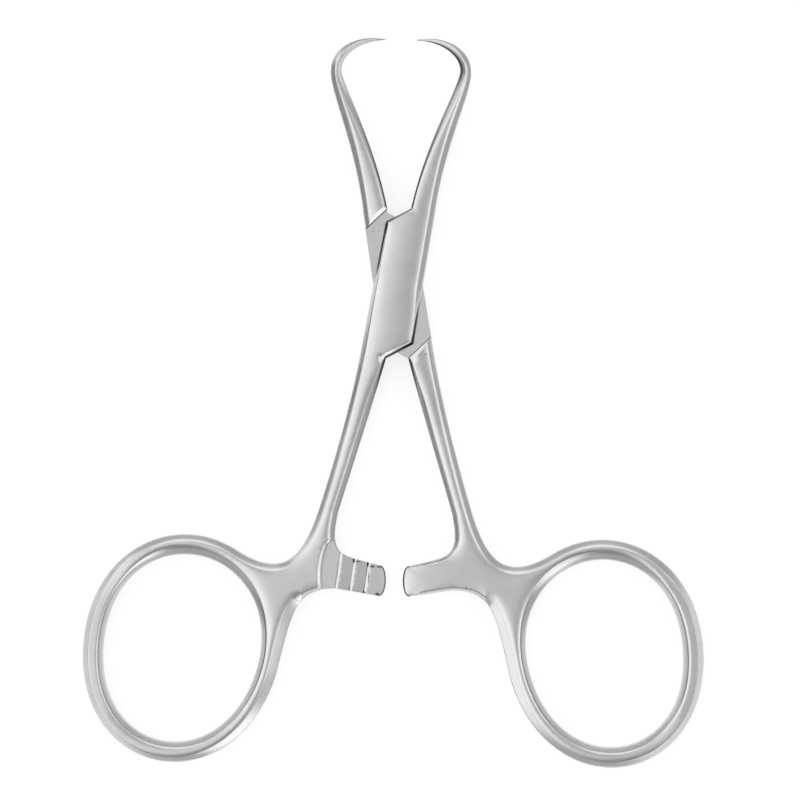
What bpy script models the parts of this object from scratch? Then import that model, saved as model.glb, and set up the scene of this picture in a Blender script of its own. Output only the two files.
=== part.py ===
"""Towel clamp with a screwless box lock: two forged halves and the pin that joins them.

The clamp lies flat. +Y points to the jaws, +X to the right, +Z up, away from the table.
The pivot axis stands on the origin, and the underside of the lock rests at Z = 0.
The jaws are open by CLOSING_ANGLE, as the ratchet leaves them when it is let go.
"""

import math
from collections import namedtuple

import bmesh
import bpy
from mathutils import Vector

MM = 0.001

# Box lock
LOCK_THICKNESS = 4.2 * MM
LOCK_WIDTH = 6.07 * MM          # across one arm at the pivot
LOCK_TAPER = 0.018              # half width gained for each length towards the rings
LOCK_LEAN = math.radians(9.3)   # lean of each arm from the Y axis
LOCK_TOP = 7.9 * MM             # pivot to the free upper corner of a cheek
LOCK_BOTTOM = 7.3 * MM          # pivot to the free lower corner of a cheek
LOCK_WAIST = 1.0 * MM           # edge strips change width this far above and below the pivot
TONGUE_THICKNESS = 1.7 * MM
TONGUE_PLAY = 0.05 * MM         # between the tongue and each cheek
TONGUE_DROP = 0.5 * MM          # upper end of the tongue below the cheeks' upper end
TONGUE_FILLET = 0.72 * MM       # where that end meets the jaw
SLOT_CLEARANCE = 0.15 * MM      # between the tongue and the ends of the slot
SLOT_REACH = 10.0 * MM          # walls of the slot run on this far past its corners
SHOULDER_SLOPE = math.radians(44)
SHOULDER_TOP = 8.13 * MM        # pivot to the outer end of the upper shoulder
SHOULDER_BOTTOM = 7.65 * MM     # pivot to the outer end of the lower shoulder
SHOULDER_CHAMFER = 0.4 * MM
SHOULDER_REACH = 5.0 * MM       # the chamfers run on this far each way
RECESS_REACH = 12.0 * MM        # and the recesses this far

# Pivot pin
PIN_DIAMETER = 2.4 * MM
PIN_HEAD_DIAMETER = 3.0 * MM    # swaged into a countersink in each cheek
PIN_HEAD_DEPTH = 0.45 * MM
PIN_SEAT_GAP = 0.012 * MM
PIN_RUNNING_GAP = 0.05 * MM
PIN_SEGMENTS = 32
SEAT_OVERRUN = 0.2 * MM         # the cut for the seat starts this far outside each cheek

# Movement about the pivot, from the modelled place
CLOSING_ANGLE = math.radians(7.0)
OPENING_ANGLE = math.radians(50.0)

# Jaws: a tapered blade that bends into a hook with a needle point
JAW_ROOT = (2.99 * MM, 9.3 * MM)
JAW_LEAN = math.radians(9.5)
JAW_SPREAD = 8.07 * MM          # middle of the blade at its widest place
JAW_BEND = 26.7 * MM
JAW_ROOT_WIDTH = 3.05 * MM
JAW_MID_WIDTH = 2.1 * MM
JAW_BEND_WIDTH = 1.36 * MM
JAW_BEND_THICKNESS = 1.9 * MM
BLADE_THINNING = 0.8            # power of the blade's loss of thickness
BLADE_PULL = (8.65 * MM, 2.35 * MM)
HOOK_PULL = (2.4 * MM, 3.4 * MM)
TIP = (1.9 * MM, 30.57 * MM)
TIP_DIP = math.radians(5.4)
TIP_WIDTH = 0.08 * MM
HOOK_FULLNESS = 1.9             # power of the hook's loss of width

# Shanks
SHANK_TOP = (2.97 * MM, 8.75 * MM)
SHANK_END = (8.315 * MM, 28.2 * MM)
SHANK_TOP_LEAN = math.radians(12.9)
SHANK_END_LEAN = math.radians(16.8)
SHANK_TOP_WIDTH = 3.27 * MM
SHANK_MID_WIDTH = 2.58 * MM
SHANK_END_WIDTH = 2.42 * MM
SHANK_THICKNESS = 3.0 * MM
SHANK_THINNING_END = 0.625      # share of the shank where it has come down to that

# Finger rings: an egg-shaped hole with a band of even width round it
RING_CENTRE = (18.085 * MM, 17.23 * MM)  # outwards and downwards from the shank's end
RING_RADIUS = 10.73 * MM
RING_OVAL = 1.007 * MM
RING_OVAL_ANGLE = math.radians(101.2)
RING_EGG = 0.115 * MM
RING_EGG_ANGLE = math.radians(48.5)
RING_BAND = 2.5 * MM
RING_THICKNESS = 3.0 * MM
RING_WEB_TOP = math.radians(118)      # where the web leaves the ring, above
RING_WEB_BOTTOM = math.radians(-168)  # and below
VALLEY_PULL = (6.2 * MM, 7.8 * MM)
CROTCH_PULL = (7.6 * MM, 5.0 * MM)

# Ratchet: inwards and downwards from the shank's end
BAR_SHANK = (0.895 * MM, 2.0 * MM)    # where the bar leaves the shank
BAR_TOP = (4.115 * MM, 6.12 * MM)
BAR_TIP_TOP = (6.565 * MM, 6.72 * MM)
BAR_TIP_BOTTOM = (6.415 * MM, 10.52 * MM)
BAR_BOTTOM = (1.115 * MM, 9.65 * MM)
BAR_TIP_PULLS = ((0.97 * MM, -0.1 * MM), (1.09 * MM, 0.0))
BAR_FILLET_PULL = (3.1 * MM, 2.5 * MM)
BAR_FILLET_LEAN = math.radians(5.7)
RATCHET_PLAY = 0.06 * MM        # between each row of crests and the middle plane
TOOTH_COUNT = 3
TOOTH_PITCH = 1.81 * MM
TOOTH_DEPTH = 0.32 * MM
TOOTH_FACE = 0.45 * MM          # plan width of the steep face
TOOTH_FIRST = (1.115 * MM, 8.1 * MM)  # middle of the first groove
TOOTH_LEAN = math.radians(7.4)
STEP_RUN = 1.75 * MM            # from the step in the bar's face to the first groove
STEP_FOOT = 1.4 * MM            # from the foot of that step to the first groove
STEP_DEPTH = 0.1 * MM           # foot of the step below the middle plane
MILL_WIDTH = 8.0 * MM           # the milling cutter crosses the bar with this width
MILL_RISE = 5.0 * MM            # and stands this far out of the middle plane

# Rounded edges: plan width of the edge strip
EDGE_OUTER = 0.85 * MM
EDGE_INNER = 0.7 * MM
EDGE_CHEEK = 0.35 * MM
EDGE_CHEEK_END = 0.45 * MM
EDGE_RING = 0.95 * MM
EDGE_BAR = 0.3 * MM
EDGE_SECTION = ((0.0, 0.0), (0.05, 0.42), (0.34, 0.83), (1.0, 1.0))  # inward, up
BLADE_STRIPS = (0.52, 0.36)     # outer and inner strip at the bend, as shares of the width
HOOK_STRIPS = (0.48, 0.4)
SMOOTH_TURN = 0.25              # corners that turn less than this have no mitre

# Steps along each stretch of the outline
BLADE_STEPS = 9
HOOK_STEPS = 10
SHANK_STEPS = 6
RING_STEPS = 46
HOLE_STEPS = 44
WEB_STEPS = 7
BAR_STEPS = 4

STEEL = (0.62, 0.62, 0.61, 1.0)
FORGING_ROUGHNESS = 0.32
PIN_ROUGHNESS = 0.3
SHARP_ANGLE = math.radians(35)
MERGE_DISTANCE = 0.0001 * MM
ROOT_STEPS = 20                 # rounds of the search for a point at a given radius

LOCK_HALF = LOCK_THICKNESS / 2
MIDDLE = LOCK_HALF              # height of the middle plane above the rest face
SHANK_HALF = SHANK_THICKNESS / 2
RING_HALF = RING_THICKNESS / 2

# Point of an outline: its place, the strip width before and after it, the half thickness
Rim = namedtuple("Rim", "x y edge half edge_after")


def rim(point, edge, half, edge_after=None):
    """Outline point whose strip keeps its width unless a second width is given."""
    return Rim(point[0], point[1], edge, half, edge if edge_after is None else edge_after)


def mix(start, end, share):
    """Value at a share of the way from start to end."""
    return start + (end - start) * share


def ease(share):
    """Smooth step from 0 to 1."""
    share = min(max(share, 0.0), 1.0)
    return share * share * (3 - 2 * share)


def quadratic(start, middle, end, share):
    """Parabola through three sizes at 0, a half and 1."""
    return (start * (1 - share) * (1 - 2 * share)
            + 4 * middle * share * (1 - share)
            + end * share * (2 * share - 1))


def bezier(start, pull_start, pull_end, end, steps):
    """Points and directions of a cubic curve between two points."""
    corners = [Vector(corner) for corner in (start, pull_start, pull_end, end)]
    points = []
    for step in range(steps + 1):
        t = step / steps
        weights = ((1 - t) ** 3, 3 * (1 - t) ** 2 * t, 3 * (1 - t) * t * t, t ** 3)
        place = sum((w * c for w, c in zip(weights, corners)), Vector((0, 0)))
        rates = ((1 - t) ** 2, 2 * (1 - t) * t, t * t)
        sides = [corners[i + 1] - corners[i] for i in range(3)]
        heading = sum((w * s for w, s in zip(rates, sides)), Vector((0, 0)))
        points.append((place, heading.normalized()))
    return points


def towards(angle):
    """Direction that leans by an angle from +Y to +X."""
    return Vector((math.sin(angle), math.cos(angle)))


def lock_edge(side, y):
    """Edge of the lock body at a height: side +1 is the right edge, -1 the left."""
    half = (LOCK_WIDTH / 2 - LOCK_TAPER * y) / math.cos(LOCK_LEAN)
    return Vector((math.tan(LOCK_LEAN) * y + side * half, y))


def jaw_sides():
    """Outer and inner rims of the right jaw, from the lock to the needle point."""
    root, tip = Vector(JAW_ROOT), Vector(TIP)
    bend = Vector((JAW_SPREAD, JAW_BEND))
    blade = bezier(root, root + towards(JAW_LEAN) * BLADE_PULL[0],
                   bend - Vector((0, BLADE_PULL[1])), bend, BLADE_STEPS)
    landing = Vector((math.cos(TIP_DIP), math.sin(TIP_DIP)))
    hook = bezier(bend, bend + Vector((0, HOOK_PULL[0])),
                  tip + landing * HOOK_PULL[1], tip, HOOK_STEPS)[1:]
    stations = []
    for step, (place, heading) in enumerate(blade):
        share = step / BLADE_STEPS
        width = quadratic(JAW_ROOT_WIDTH, JAW_MID_WIDTH, JAW_BEND_WIDTH, share)
        half = mix(LOCK_THICKNESS, JAW_BEND_THICKNESS, share ** BLADE_THINNING) / 2
        strips = (mix(EDGE_OUTER, width * BLADE_STRIPS[0], ease(share)),
                  mix(EDGE_CHEEK, width * BLADE_STRIPS[1], ease(share)))
        stations.append((place, heading, width, half, strips))
    for step, (place, heading) in enumerate(hook, start=1):
        share = step / HOOK_STEPS
        width = mix(JAW_BEND_WIDTH, TIP_WIDTH, share ** HOOK_FULLNESS)
        half = mix(JAW_BEND_THICKNESS, TIP_WIDTH, share ** HOOK_FULLNESS) / 2
        strips = [width * part for part in HOOK_STRIPS]
        stations.append((place, heading, width, half, strips))
    return both_sides(stations)


def both_sides(stations):
    """Outer and inner rims along a middle line, outer to the right of its heading."""
    outer, inner = [], []
    for place, heading, width, half, strips in stations:
        across = Vector((heading.y, -heading.x)) * width / 2
        outer.append(rim(place + across, strips[0], half))
        inner.append(rim(place - across, strips[1], half))
    return outer, inner


def shank_sides():
    """Outer and inner rims of the left shank, from the lock down to the web."""
    top, end = below(SHANK_TOP), below(SHANK_END)
    pull = (end - top).length / 3
    line = bezier(top, top - towards(SHANK_TOP_LEAN) * pull,
                  end + towards(SHANK_END_LEAN) * pull, end, SHANK_STEPS)
    stations = []
    for step, (place, heading) in enumerate(line):
        share = step / SHANK_STEPS
        width = quadratic(SHANK_TOP_WIDTH, SHANK_MID_WIDTH, SHANK_END_WIDTH, share)
        half = mix(LOCK_HALF, SHANK_HALF, ease(share / SHANK_THINNING_END))
        stations.append((place, heading, width, half, (EDGE_OUTER, EDGE_INNER)))
    return both_sides(stations)


def ring_point(angle, band):
    """Point of the left ring at a direction from its centre; band 0 is the hole."""
    radius = (RING_RADIUS + RING_OVAL * math.cos(2 * (angle - RING_OVAL_ANGLE))
              + RING_EGG * math.cos(3 * (angle - RING_EGG_ANGLE)) + band)
    centre = below(SHANK_END) + below(RING_CENTRE)
    return centre + Vector((-radius * math.cos(angle), radius * math.sin(angle)))


def ring_heading(angle, band):
    """Direction of the left ring's edge, clockwise seen from above."""
    nudge = math.radians(0.5)
    return (ring_point(angle + nudge, band) - ring_point(angle - nudge, band)).normalized()


def stretch(points, edges, halves):
    """Rims along a curve, with the strip width and half thickness blended end to end."""
    count = len(points) - 1
    return [rim(place, mix(edges[0], edges[1], ease(step / count)),
                mix(halves[0], halves[1], ease(step / count)))
            for step, (place, heading) in enumerate(points)]


def below(point):
    """Point of the left half from its distances left of the middle and below the pivot."""
    return Vector((-point[0], -point[1]))


def bar_place(point):
    """Point of the ratchet from its distances right of the shank's end and below it."""
    return below(SHANK_END) + Vector((point[0], -point[1]))


def free_cheek_rims(shank_inner):
    """Right edge of the lock, its free lower corner and the end edge to the shank."""
    first = shank_inner[0]
    return [rim(lock_edge(1, LOCK_WAIST), EDGE_OUTER, LOCK_HALF),
            rim(lock_edge(1, -LOCK_WAIST), EDGE_CHEEK, LOCK_HALF),
            rim(lock_edge(1, -LOCK_BOTTOM), EDGE_CHEEK, LOCK_HALF, EDGE_CHEEK_END),
            rim((first.x, first.y), EDGE_CHEEK_END, LOCK_HALF, EDGE_INNER)]


def bar_rims():
    """Fillet from the shank to the ratchet bar, the bar's upper side and its rounded end."""
    shank, top = bar_place(BAR_SHANK), bar_place(BAR_TOP)
    tip_top, tip_bottom = bar_place(BAR_TIP_TOP), bar_place(BAR_TIP_BOTTOM)
    along = (tip_top - top).normalized()
    fillet = bezier(shank, shank - towards(BAR_FILLET_LEAN) * BAR_FILLET_PULL[0],
                    top - along * BAR_FILLET_PULL[1], top, WEB_STEPS)
    end = bezier(tip_top, tip_top + Vector(BAR_TIP_PULLS[0]),
                 tip_bottom + Vector(BAR_TIP_PULLS[1]), tip_bottom, BAR_STEPS)
    return (stretch(fillet, (EDGE_INNER, EDGE_BAR), (SHANK_HALF, SHANK_HALF))
            + stretch(end, (EDGE_BAR, EDGE_BAR), (SHANK_HALF, SHANK_HALF)))


def ring_rims(shank_end):
    """From the bar's lower side round the ring and through the valley to the shank."""
    bar, low = bar_place(BAR_BOTTOM), ring_point(RING_WEB_BOTTOM, RING_BAND)
    low_heading = ring_heading(RING_WEB_BOTTOM, RING_BAND)
    crotch = bezier(bar, bar - Vector((CROTCH_PULL[1], 0)),
                    low - low_heading * CROTCH_PULL[0], low, WEB_STEPS + 2)
    rims = stretch(crotch[:-1], (EDGE_BAR, EDGE_RING), (SHANK_HALF, RING_HALF))
    for step in range(RING_STEPS + 1):
        angle = mix(RING_WEB_BOTTOM, RING_WEB_TOP, step / RING_STEPS)
        rims.append(rim(ring_point(angle, RING_BAND), EDGE_RING, RING_HALF))
    top = ring_point(RING_WEB_TOP, RING_BAND)
    top_heading = ring_heading(RING_WEB_TOP, RING_BAND)
    arrive = Vector((shank_end.x, shank_end.y))
    valley = bezier(top, top + top_heading * VALLEY_PULL[0],
                    arrive - towards(SHANK_END_LEAN) * VALLEY_PULL[1], arrive, WEB_STEPS + 2)
    return rims + stretch(valley[1:-1], (EDGE_RING, EDGE_OUTER), (RING_HALF, SHANK_HALF))


def free_corner_rims(jaw_start, drop):
    """Left edge of the lock and its free upper corner, with a fillet if it lies lower."""
    corner = lock_edge(-1, LOCK_TOP - drop)
    rims = [rim(lock_edge(-1, -LOCK_WAIST), EDGE_OUTER, LOCK_HALF),
            rim(lock_edge(-1, LOCK_WAIST), EDGE_CHEEK, LOCK_HALF),
            rim(corner, EDGE_CHEEK, LOCK_HALF)]
    if drop:
        root = Vector((jaw_start.x, jaw_start.y))
        foot = root - Vector((0, drop))
        slope = (corner - foot).normalized()
        fillet = bezier(foot + slope * TONGUE_FILLET, foot, foot, root, BAR_STEPS)
        rims += stretch(fillet[:-1], (EDGE_CHEEK, EDGE_CHEEK), (LOCK_HALF, LOCK_HALF))
    return rims


def half_outline(drop):
    """Outline, clockwise, of the half with its jaw on the right and its ring on the left.

    drop is how far the upper end of the lock body lies below the cheeks' upper end.
    """
    jaw_outer, jaw_inner = jaw_sides()
    shank_outer, shank_inner = shank_sides()
    return (jaw_outer[::-1] + free_cheek_rims(shank_inner) + shank_inner[1:] + bar_rims()
            + ring_rims(shank_outer[-1]) + shank_outer[::-1]
            + free_corner_rims(jaw_inner[0], drop) + jaw_inner)


def ring_hole():
    """Outline of the finger hole, the other way round from the outline."""
    return [rim(ring_point(-math.tau * step / HOLE_STEPS, 0.0), EDGE_RING, RING_HALF)
            for step in range(HOLE_STEPS)]


def inset(rims, index):
    """Vector from a rim point to the inner line of its edge strip."""
    here = rims[index]
    before, after = rims[index - 1], rims[(index + 1) % len(rims)]
    heading_in = Vector((here.x - before.x, here.y - before.y)).normalized()
    heading_out = Vector((after.x - here.x, after.y - here.y)).normalized()
    normal_in = Vector((heading_in.y, -heading_in.x))
    normal_out = Vector((heading_out.y, -heading_out.x))
    corner = normal_in.cross(normal_out)
    if abs(corner) < SMOOTH_TURN:
        normal = (normal_in + normal_out).normalized()
        return normal * (here.edge + here.edge_after) / 2
    return Vector(((here.edge * normal_out.y - here.edge_after * normal_in.y) / corner,
                   (here.edge_after * normal_in.x - here.edge * normal_out.x) / corner))


def edge_strip(bm, rims):
    """Loft the rounded edge round an outline; gives the loops of the two flat faces."""
    insets = [inset(rims, index) for index in range(len(rims))]
    levels = [(u, -v) for u, v in reversed(EDGE_SECTION[1:])] + list(EDGE_SECTION)
    loops = []
    for inward, height in levels:
        loops.append([bm.verts.new((point.x + shift.x * inward, point.y + shift.y * inward,
                                    MIDDLE + point.half * height))
                      for point, shift in zip(rims, insets)])
    count = len(rims)
    for low, high in zip(loops, loops[1:]):
        for i in range(count):
            bm.faces.new((low[i], low[(i + 1) % count], high[(i + 1) % count], high[i]))
    return loops[0], loops[-1]


def loop_edges(bm, loop):
    """Edges that join the points of a closed loop."""
    return [bm.edges.get((loop[i - 1], loop[i])) for i in range(len(loop))]


def forged_blank(name, drop, mirrored, collection):
    """Forging of one half before its lock, ratchet and pin hole are cut."""
    bm = bmesh.new()
    strips = [edge_strip(bm, rims) for rims in (half_outline(drop), ring_hole())]
    for face_side in (0, 1):
        edges = [edge for strip in strips for edge in loop_edges(bm, strip[face_side])]
        bmesh.ops.triangle_fill(bm, edges=edges, use_beauty=True, normal=(0, 0, 1))
    if mirrored:
        bmesh.ops.scale(bm, vec=(-1, 1, 1), verts=bm.verts)
    bmesh.ops.recalc_face_normals(bm, faces=bm.faces)
    return mesh_object(name, bm, collection)


def mesh_object(name, bm, collection):
    """New object from worked-on mesh data."""
    mesh = bpy.data.meshes.new(name)
    bm.to_mesh(mesh)
    bm.free()
    item = bpy.data.objects.new(name, mesh)
    collection.objects.link(item)
    return item


def solid_copy(drawn, collection):
    """Mesh object in place of a drawn curve or a modified one, with its seams merged."""
    bpy.context.view_layer.update()
    evaluated = drawn.evaluated_get(bpy.context.evaluated_depsgraph_get())
    mesh = bpy.data.meshes.new_from_object(evaluated)
    bm = bmesh.new()
    bm.from_mesh(mesh)
    bmesh.ops.remove_doubles(bm, verts=bm.verts, dist=MERGE_DISTANCE)
    bmesh.ops.recalc_face_normals(bm, faces=bm.faces)
    bm.to_mesh(mesh)
    bm.free()
    name, place = drawn.name, drawn.matrix_world.copy()
    bpy.data.objects.remove(drawn)
    solid = bpy.data.objects.new(name, mesh)
    solid.matrix_world = place
    collection.objects.link(solid)
    return solid


def plate(name, outline, low, high, collection):
    """Flat plate with a given outline, from one height to another."""
    curve = bpy.data.curves.new(name, "CURVE")
    curve.dimensions = "2D"
    curve.fill_mode = "BOTH"
    curve.extrude = (high - low) / 2
    spline = curve.splines.new("POLY")
    spline.points.add(len(outline) - 1)
    for point, (x, y) in zip(spline.points, outline):
        point.co = (x, y, 0, 1)
    spline.use_cyclic_u = True
    drawn = bpy.data.objects.new(name, curve)
    collection.objects.link(drawn)
    drawn.location.z = (low + high) / 2
    return solid_copy(drawn, collection)


def turned(name, profile, collection):
    """Solid of revolution about Z from radii and heights that run from top to bottom."""
    mesh = bpy.data.meshes.new(name)
    mesh.from_pydata([(radius, 0, height) for radius, height in profile],
                     [(i, i + 1) for i in range(len(profile) - 1)], [])
    drawn = bpy.data.objects.new(name, mesh)
    collection.objects.link(drawn)
    screw = drawn.modifiers.new("turn", "SCREW")
    screw.steps = screw.render_steps = PIN_SEGMENTS
    screw.use_merge_vertices = True
    screw.merge_threshold = MERGE_DISTANCE
    return solid_copy(drawn, collection)


def cut(target, cutter):
    """Take a cutter away from a body."""
    cutter.hide_render = True
    cutter.display_type = "WIRE"
    boolean = target.modifiers.new("cut " + cutter.name, "BOOLEAN")
    boolean.operation = "DIFFERENCE"
    boolean.object = cutter
    boolean.solver = "EXACT"


def turn(point, angle):
    """Plan point turned anticlockwise about the pivot."""
    return Vector((point[0] * math.cos(angle) - point[1] * math.sin(angle),
                   point[0] * math.sin(angle) + point[1] * math.cos(angle)))


def pushed_line(first, second, outward):
    """Line through two points, moved away from the pivot; gives a point and direction."""
    heading = (second - first).normalized()
    normal = Vector((heading.y, -heading.x))
    if normal.dot(first) < 0:
        normal = -normal
    return first + normal * outward, heading


def meeting(line_a, line_b):
    """Point where two plan lines cross."""
    (start, heading), (other, direction) = line_a, line_b
    share = (other - start).cross(direction) / heading.cross(direction)
    return start + heading * share


def slot_end(waist, corner, root):
    """Walls of the slot at one end, clear of the tongue from fully closed to fully open.

    waist, corner and root are the tongue's side at the pivot, its free corner and the
    root of its end edge, in the modelled place.
    """
    closed = [turn(point, -CLOSING_ANGLE) for point in (waist, corner, root)]
    opened = [turn(point, OPENING_ANGLE) for point in (waist, corner)]
    side = pushed_line(closed[0], closed[1], SLOT_CLEARANCE)
    end = pushed_line(closed[1], closed[2], SLOT_CLEARANCE)
    throat = pushed_line(opened[0], opened[1], SLOT_CLEARANCE)
    throat_corner = meeting(throat, side)
    wall_corner = meeting(side, end)
    return [throat_corner - throat[1] * SLOT_REACH, throat_corner, wall_corner,
            wall_corner + end[1] * SLOT_REACH]


def mirror_x(point):
    """Plan point on the other side of the middle line."""
    return Vector((-point[0], point[1]))


def slot_cutter(collection):
    """Slot through the box, as wide as the swing of the tongue needs."""
    jaw_root = jaw_sides()[1][0]
    shank_root = shank_sides()[1][0]
    upper = slot_end(mirror_x(lock_edge(-1, 0)), mirror_x(lock_edge(-1, LOCK_TOP)),
                     mirror_x((jaw_root.x, jaw_root.y)))
    lower = slot_end(mirror_x(lock_edge(1, 0)), mirror_x(lock_edge(1, -LOCK_BOTTOM)),
                     mirror_x((shank_root.x, shank_root.y)))
    half = TONGUE_THICKNESS / 2 + TONGUE_PLAY
    return plate("slot_cutter", upper + lower, MIDDLE - half, MIDDLE + half, collection)


def shoulder_end(sign, radius):
    """Outer end of a shoulder of the tongue half: sign +1 is the upper, -1 the lower one."""
    y = sign * radius
    for _ in range(ROOT_STEPS):
        y *= radius / lock_edge(sign, y).length
    return mirror_x(lock_edge(sign, y))


def recess_cutters(collection):
    """Cutters that thin the tongue from both faces and chamfer its shoulders."""
    upper, lower = shoulder_end(1, SHOULDER_TOP), shoulder_end(-1, SHOULDER_BOTTOM)
    along = Vector((math.cos(SHOULDER_SLOPE), math.sin(SHOULDER_SLOPE)))
    far = along * RECESS_REACH
    outline = [upper - far, upper + far, lower + far, lower - far]
    normal = Vector((-along.y, along.x))
    cutters = []
    for side in (1, -1):
        floor = MIDDLE + side * TONGUE_THICKNESS / 2
        outside = MIDDLE + side * LOCK_THICKNESS
        low, high = sorted((floor, outside))
        cutters.append(plate("recess_cutter", outline, low, high, collection))
        for place, outward in ((upper, normal), (lower, -normal)):
            cutters.append(chamfer_cutter(place, along, outward, side, collection))
    return cutters


def chamfer_cutter(place, along, outward, side, collection):
    """Wedge that breaks the edge of one shoulder on one face of the tongue half."""
    depth = Vector((0, 0, side * SHOULDER_CHAMFER))
    flat = Vector((outward.x, outward.y, 0)) * SHOULDER_CHAMFER
    run = Vector((along.x, along.y, 0)) * SHOULDER_REACH
    edge = Vector((place.x, place.y, MIDDLE + side * LOCK_HALF))
    section = [edge + flat * 2 + depth, edge - flat + depth, edge - flat - depth * 2]
    bm = bmesh.new()
    ends = [[bm.verts.new(corner + shift) for corner in section] for shift in (-run, run)]
    for end in ends:
        bm.faces.new(end)
    for i in range(len(section)):
        bm.faces.new((ends[0][i - 1], ends[0][i], ends[1][i], ends[1][i - 1]))
    bmesh.ops.recalc_face_normals(bm, faces=bm.faces)
    return mesh_object("chamfer_cutter", bm, collection)


def ratchet_cutter(name, mirrored, collection):
    """Milling cutter that leaves sawteeth on the half of the bar away from it.

    Each tooth has a steep face turned to the shank and a ramp that falls to the tip.
    """
    crest = -RATCHET_PLAY
    root = crest - TOOTH_DEPTH
    steepness = (STEP_RUN - STEP_FOOT) / (SHANK_HALF + STEP_DEPTH)
    step_top = -STEP_FOOT - steepness * (MILL_RISE + STEP_DEPTH)
    profile = [(step_top, MILL_RISE), (-STEP_FOOT, -STEP_DEPTH), (0.0, root)]
    for tooth in range(TOOTH_COUNT):
        start = tooth * TOOTH_PITCH
        if tooth:
            profile.append((start, root))
        profile.append((start + TOOTH_FACE, crest))
    first = bar_place(TOOTH_FIRST)
    past_tip = TOOTH_COUNT * TOOTH_PITCH - first.x
    profile += [(past_tip, root), (past_tip, MILL_RISE)]
    cutter = plate(name, profile, -MILL_WIDTH / 2, MILL_WIDTH / 2, collection)
    bm = bmesh.new()
    bm.from_mesh(cutter.data)
    side = -1 if mirrored else 1
    for vert in bm.verts:
        run, rise, width = vert.co
        place = turn((run, width), -TOOTH_LEAN) + first
        vert.co = (side * place.x, place.y, MIDDLE + side * rise)
    bmesh.ops.recalc_face_normals(bm, faces=bm.faces)
    bm.to_mesh(cutter.data)
    bm.free()
    return cutter


def pin_profile():
    """Half section of the riveted pin, flush with both cheeks."""
    radius, head = PIN_DIAMETER / 2, PIN_HEAD_DIAMETER / 2
    return [(0, LOCK_THICKNESS), (head, LOCK_THICKNESS),
            (radius, LOCK_THICKNESS - PIN_HEAD_DEPTH), (radius, PIN_HEAD_DEPTH),
            (head, 0), (0, 0)]


def seat_profile():
    """Half section of the hole in the cheeks, run out past both faces."""
    radius = PIN_DIAMETER / 2 + PIN_SEAT_GAP
    head = PIN_HEAD_DIAMETER / 2 + PIN_SEAT_GAP
    mouth = head + SEAT_OVERRUN * (head - radius) / PIN_HEAD_DEPTH
    top, bottom = LOCK_THICKNESS + SEAT_OVERRUN, -SEAT_OVERRUN
    return [(0, top), (mouth, top), (radius, LOCK_THICKNESS - PIN_HEAD_DEPTH),
            (radius, PIN_HEAD_DEPTH), (mouth, bottom), (0, bottom)]


def bore_profile():
    """Half section of the running hole in the tongue."""
    radius = PIN_DIAMETER / 2 + PIN_RUNNING_GAP
    return [(0, LOCK_THICKNESS), (radius, LOCK_THICKNESS), (radius, 0), (0, 0)]


def steel(name, roughness):
    """Bare stainless steel."""
    material = bpy.data.materials.new(name)
    material.use_nodes = True
    shader = material.node_tree.nodes["Principled BSDF"]
    shader.inputs["Base Color"].default_value = STEEL
    shader.inputs["Metallic"].default_value = 1.0
    shader.inputs["Roughness"].default_value = roughness
    return material


def new_collection(name):
    """Collection linked to the scene."""
    collection = bpy.data.collections.new(name)
    bpy.context.scene.collection.children.link(collection)
    return collection


def main():
    """Build the clamp."""
    for item in list(bpy.data.objects):
        bpy.data.objects.remove(item)
    clamp = new_collection("towel_clamp")
    cutters = new_collection("cutters")

    box_half = forged_blank("box_half", 0.0, False, clamp)
    cut(box_half, slot_cutter(cutters))
    cut(box_half, turned("seat_cutter", seat_profile(), cutters))
    cut(box_half, ratchet_cutter("box_ratchet_cutter", False, cutters))
    box_half.data.materials.append(steel("box half steel", FORGING_ROUGHNESS))

    tongue_half = forged_blank("tongue_half", TONGUE_DROP, True, clamp)
    for cutter in recess_cutters(cutters):
        cut(tongue_half, cutter)
    cut(tongue_half, turned("bore_cutter", bore_profile(), cutters))
    cut(tongue_half, ratchet_cutter("tongue_ratchet_cutter", True, cutters))
    tongue_half.data.materials.append(steel("tongue half steel", FORGING_ROUGHNESS))

    pin = turned("pivot_pin", pin_profile(), clamp)
    pin.data.materials.append(steel("pin steel", PIN_ROUGHNESS))

    for item in clamp.objects:
        item.data.shade_smooth()
        item.data.set_sharp_from_angle(angle=SHARP_ANGLE)


if __name__ == "__main__":
    main()
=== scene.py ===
"""Looks of a towel clamp: two forged steel halves with a box lock, lying on a pale table.

Each half is drawn in plan, with its jaw on the right and its ring on the left. An edge
style says how the surface falls away from the face to the outline, and a spine says how
thick the forging is. The lock is then cut out of the two blanks as on the real clamp.
Lengths are in millimetres until a mesh is written, which is in metres.
"""

from __future__ import annotations

import logging
import math
from dataclasses import astuple, dataclass, field, replace
from enum import Enum
from typing import Callable, Iterable, Sequence

import bmesh
import bpy
import numpy as np
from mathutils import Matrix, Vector
from mathutils.geometry import delaunay_2d_cdt


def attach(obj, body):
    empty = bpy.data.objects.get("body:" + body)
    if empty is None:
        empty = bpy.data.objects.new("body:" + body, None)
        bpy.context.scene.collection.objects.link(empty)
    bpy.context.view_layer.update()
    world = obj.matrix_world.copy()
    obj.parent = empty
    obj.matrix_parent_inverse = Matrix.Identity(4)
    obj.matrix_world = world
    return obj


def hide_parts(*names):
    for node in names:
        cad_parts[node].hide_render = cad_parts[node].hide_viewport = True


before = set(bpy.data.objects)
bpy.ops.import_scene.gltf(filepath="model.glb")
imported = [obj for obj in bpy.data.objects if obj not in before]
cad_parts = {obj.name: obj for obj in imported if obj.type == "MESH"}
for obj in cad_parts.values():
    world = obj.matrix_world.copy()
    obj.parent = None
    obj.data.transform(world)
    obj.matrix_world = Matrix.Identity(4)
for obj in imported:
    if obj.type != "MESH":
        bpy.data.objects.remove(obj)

LOG = logging.getLogger("towel_clamp")
# One millimetre, in metres.
MM = 0.001
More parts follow.
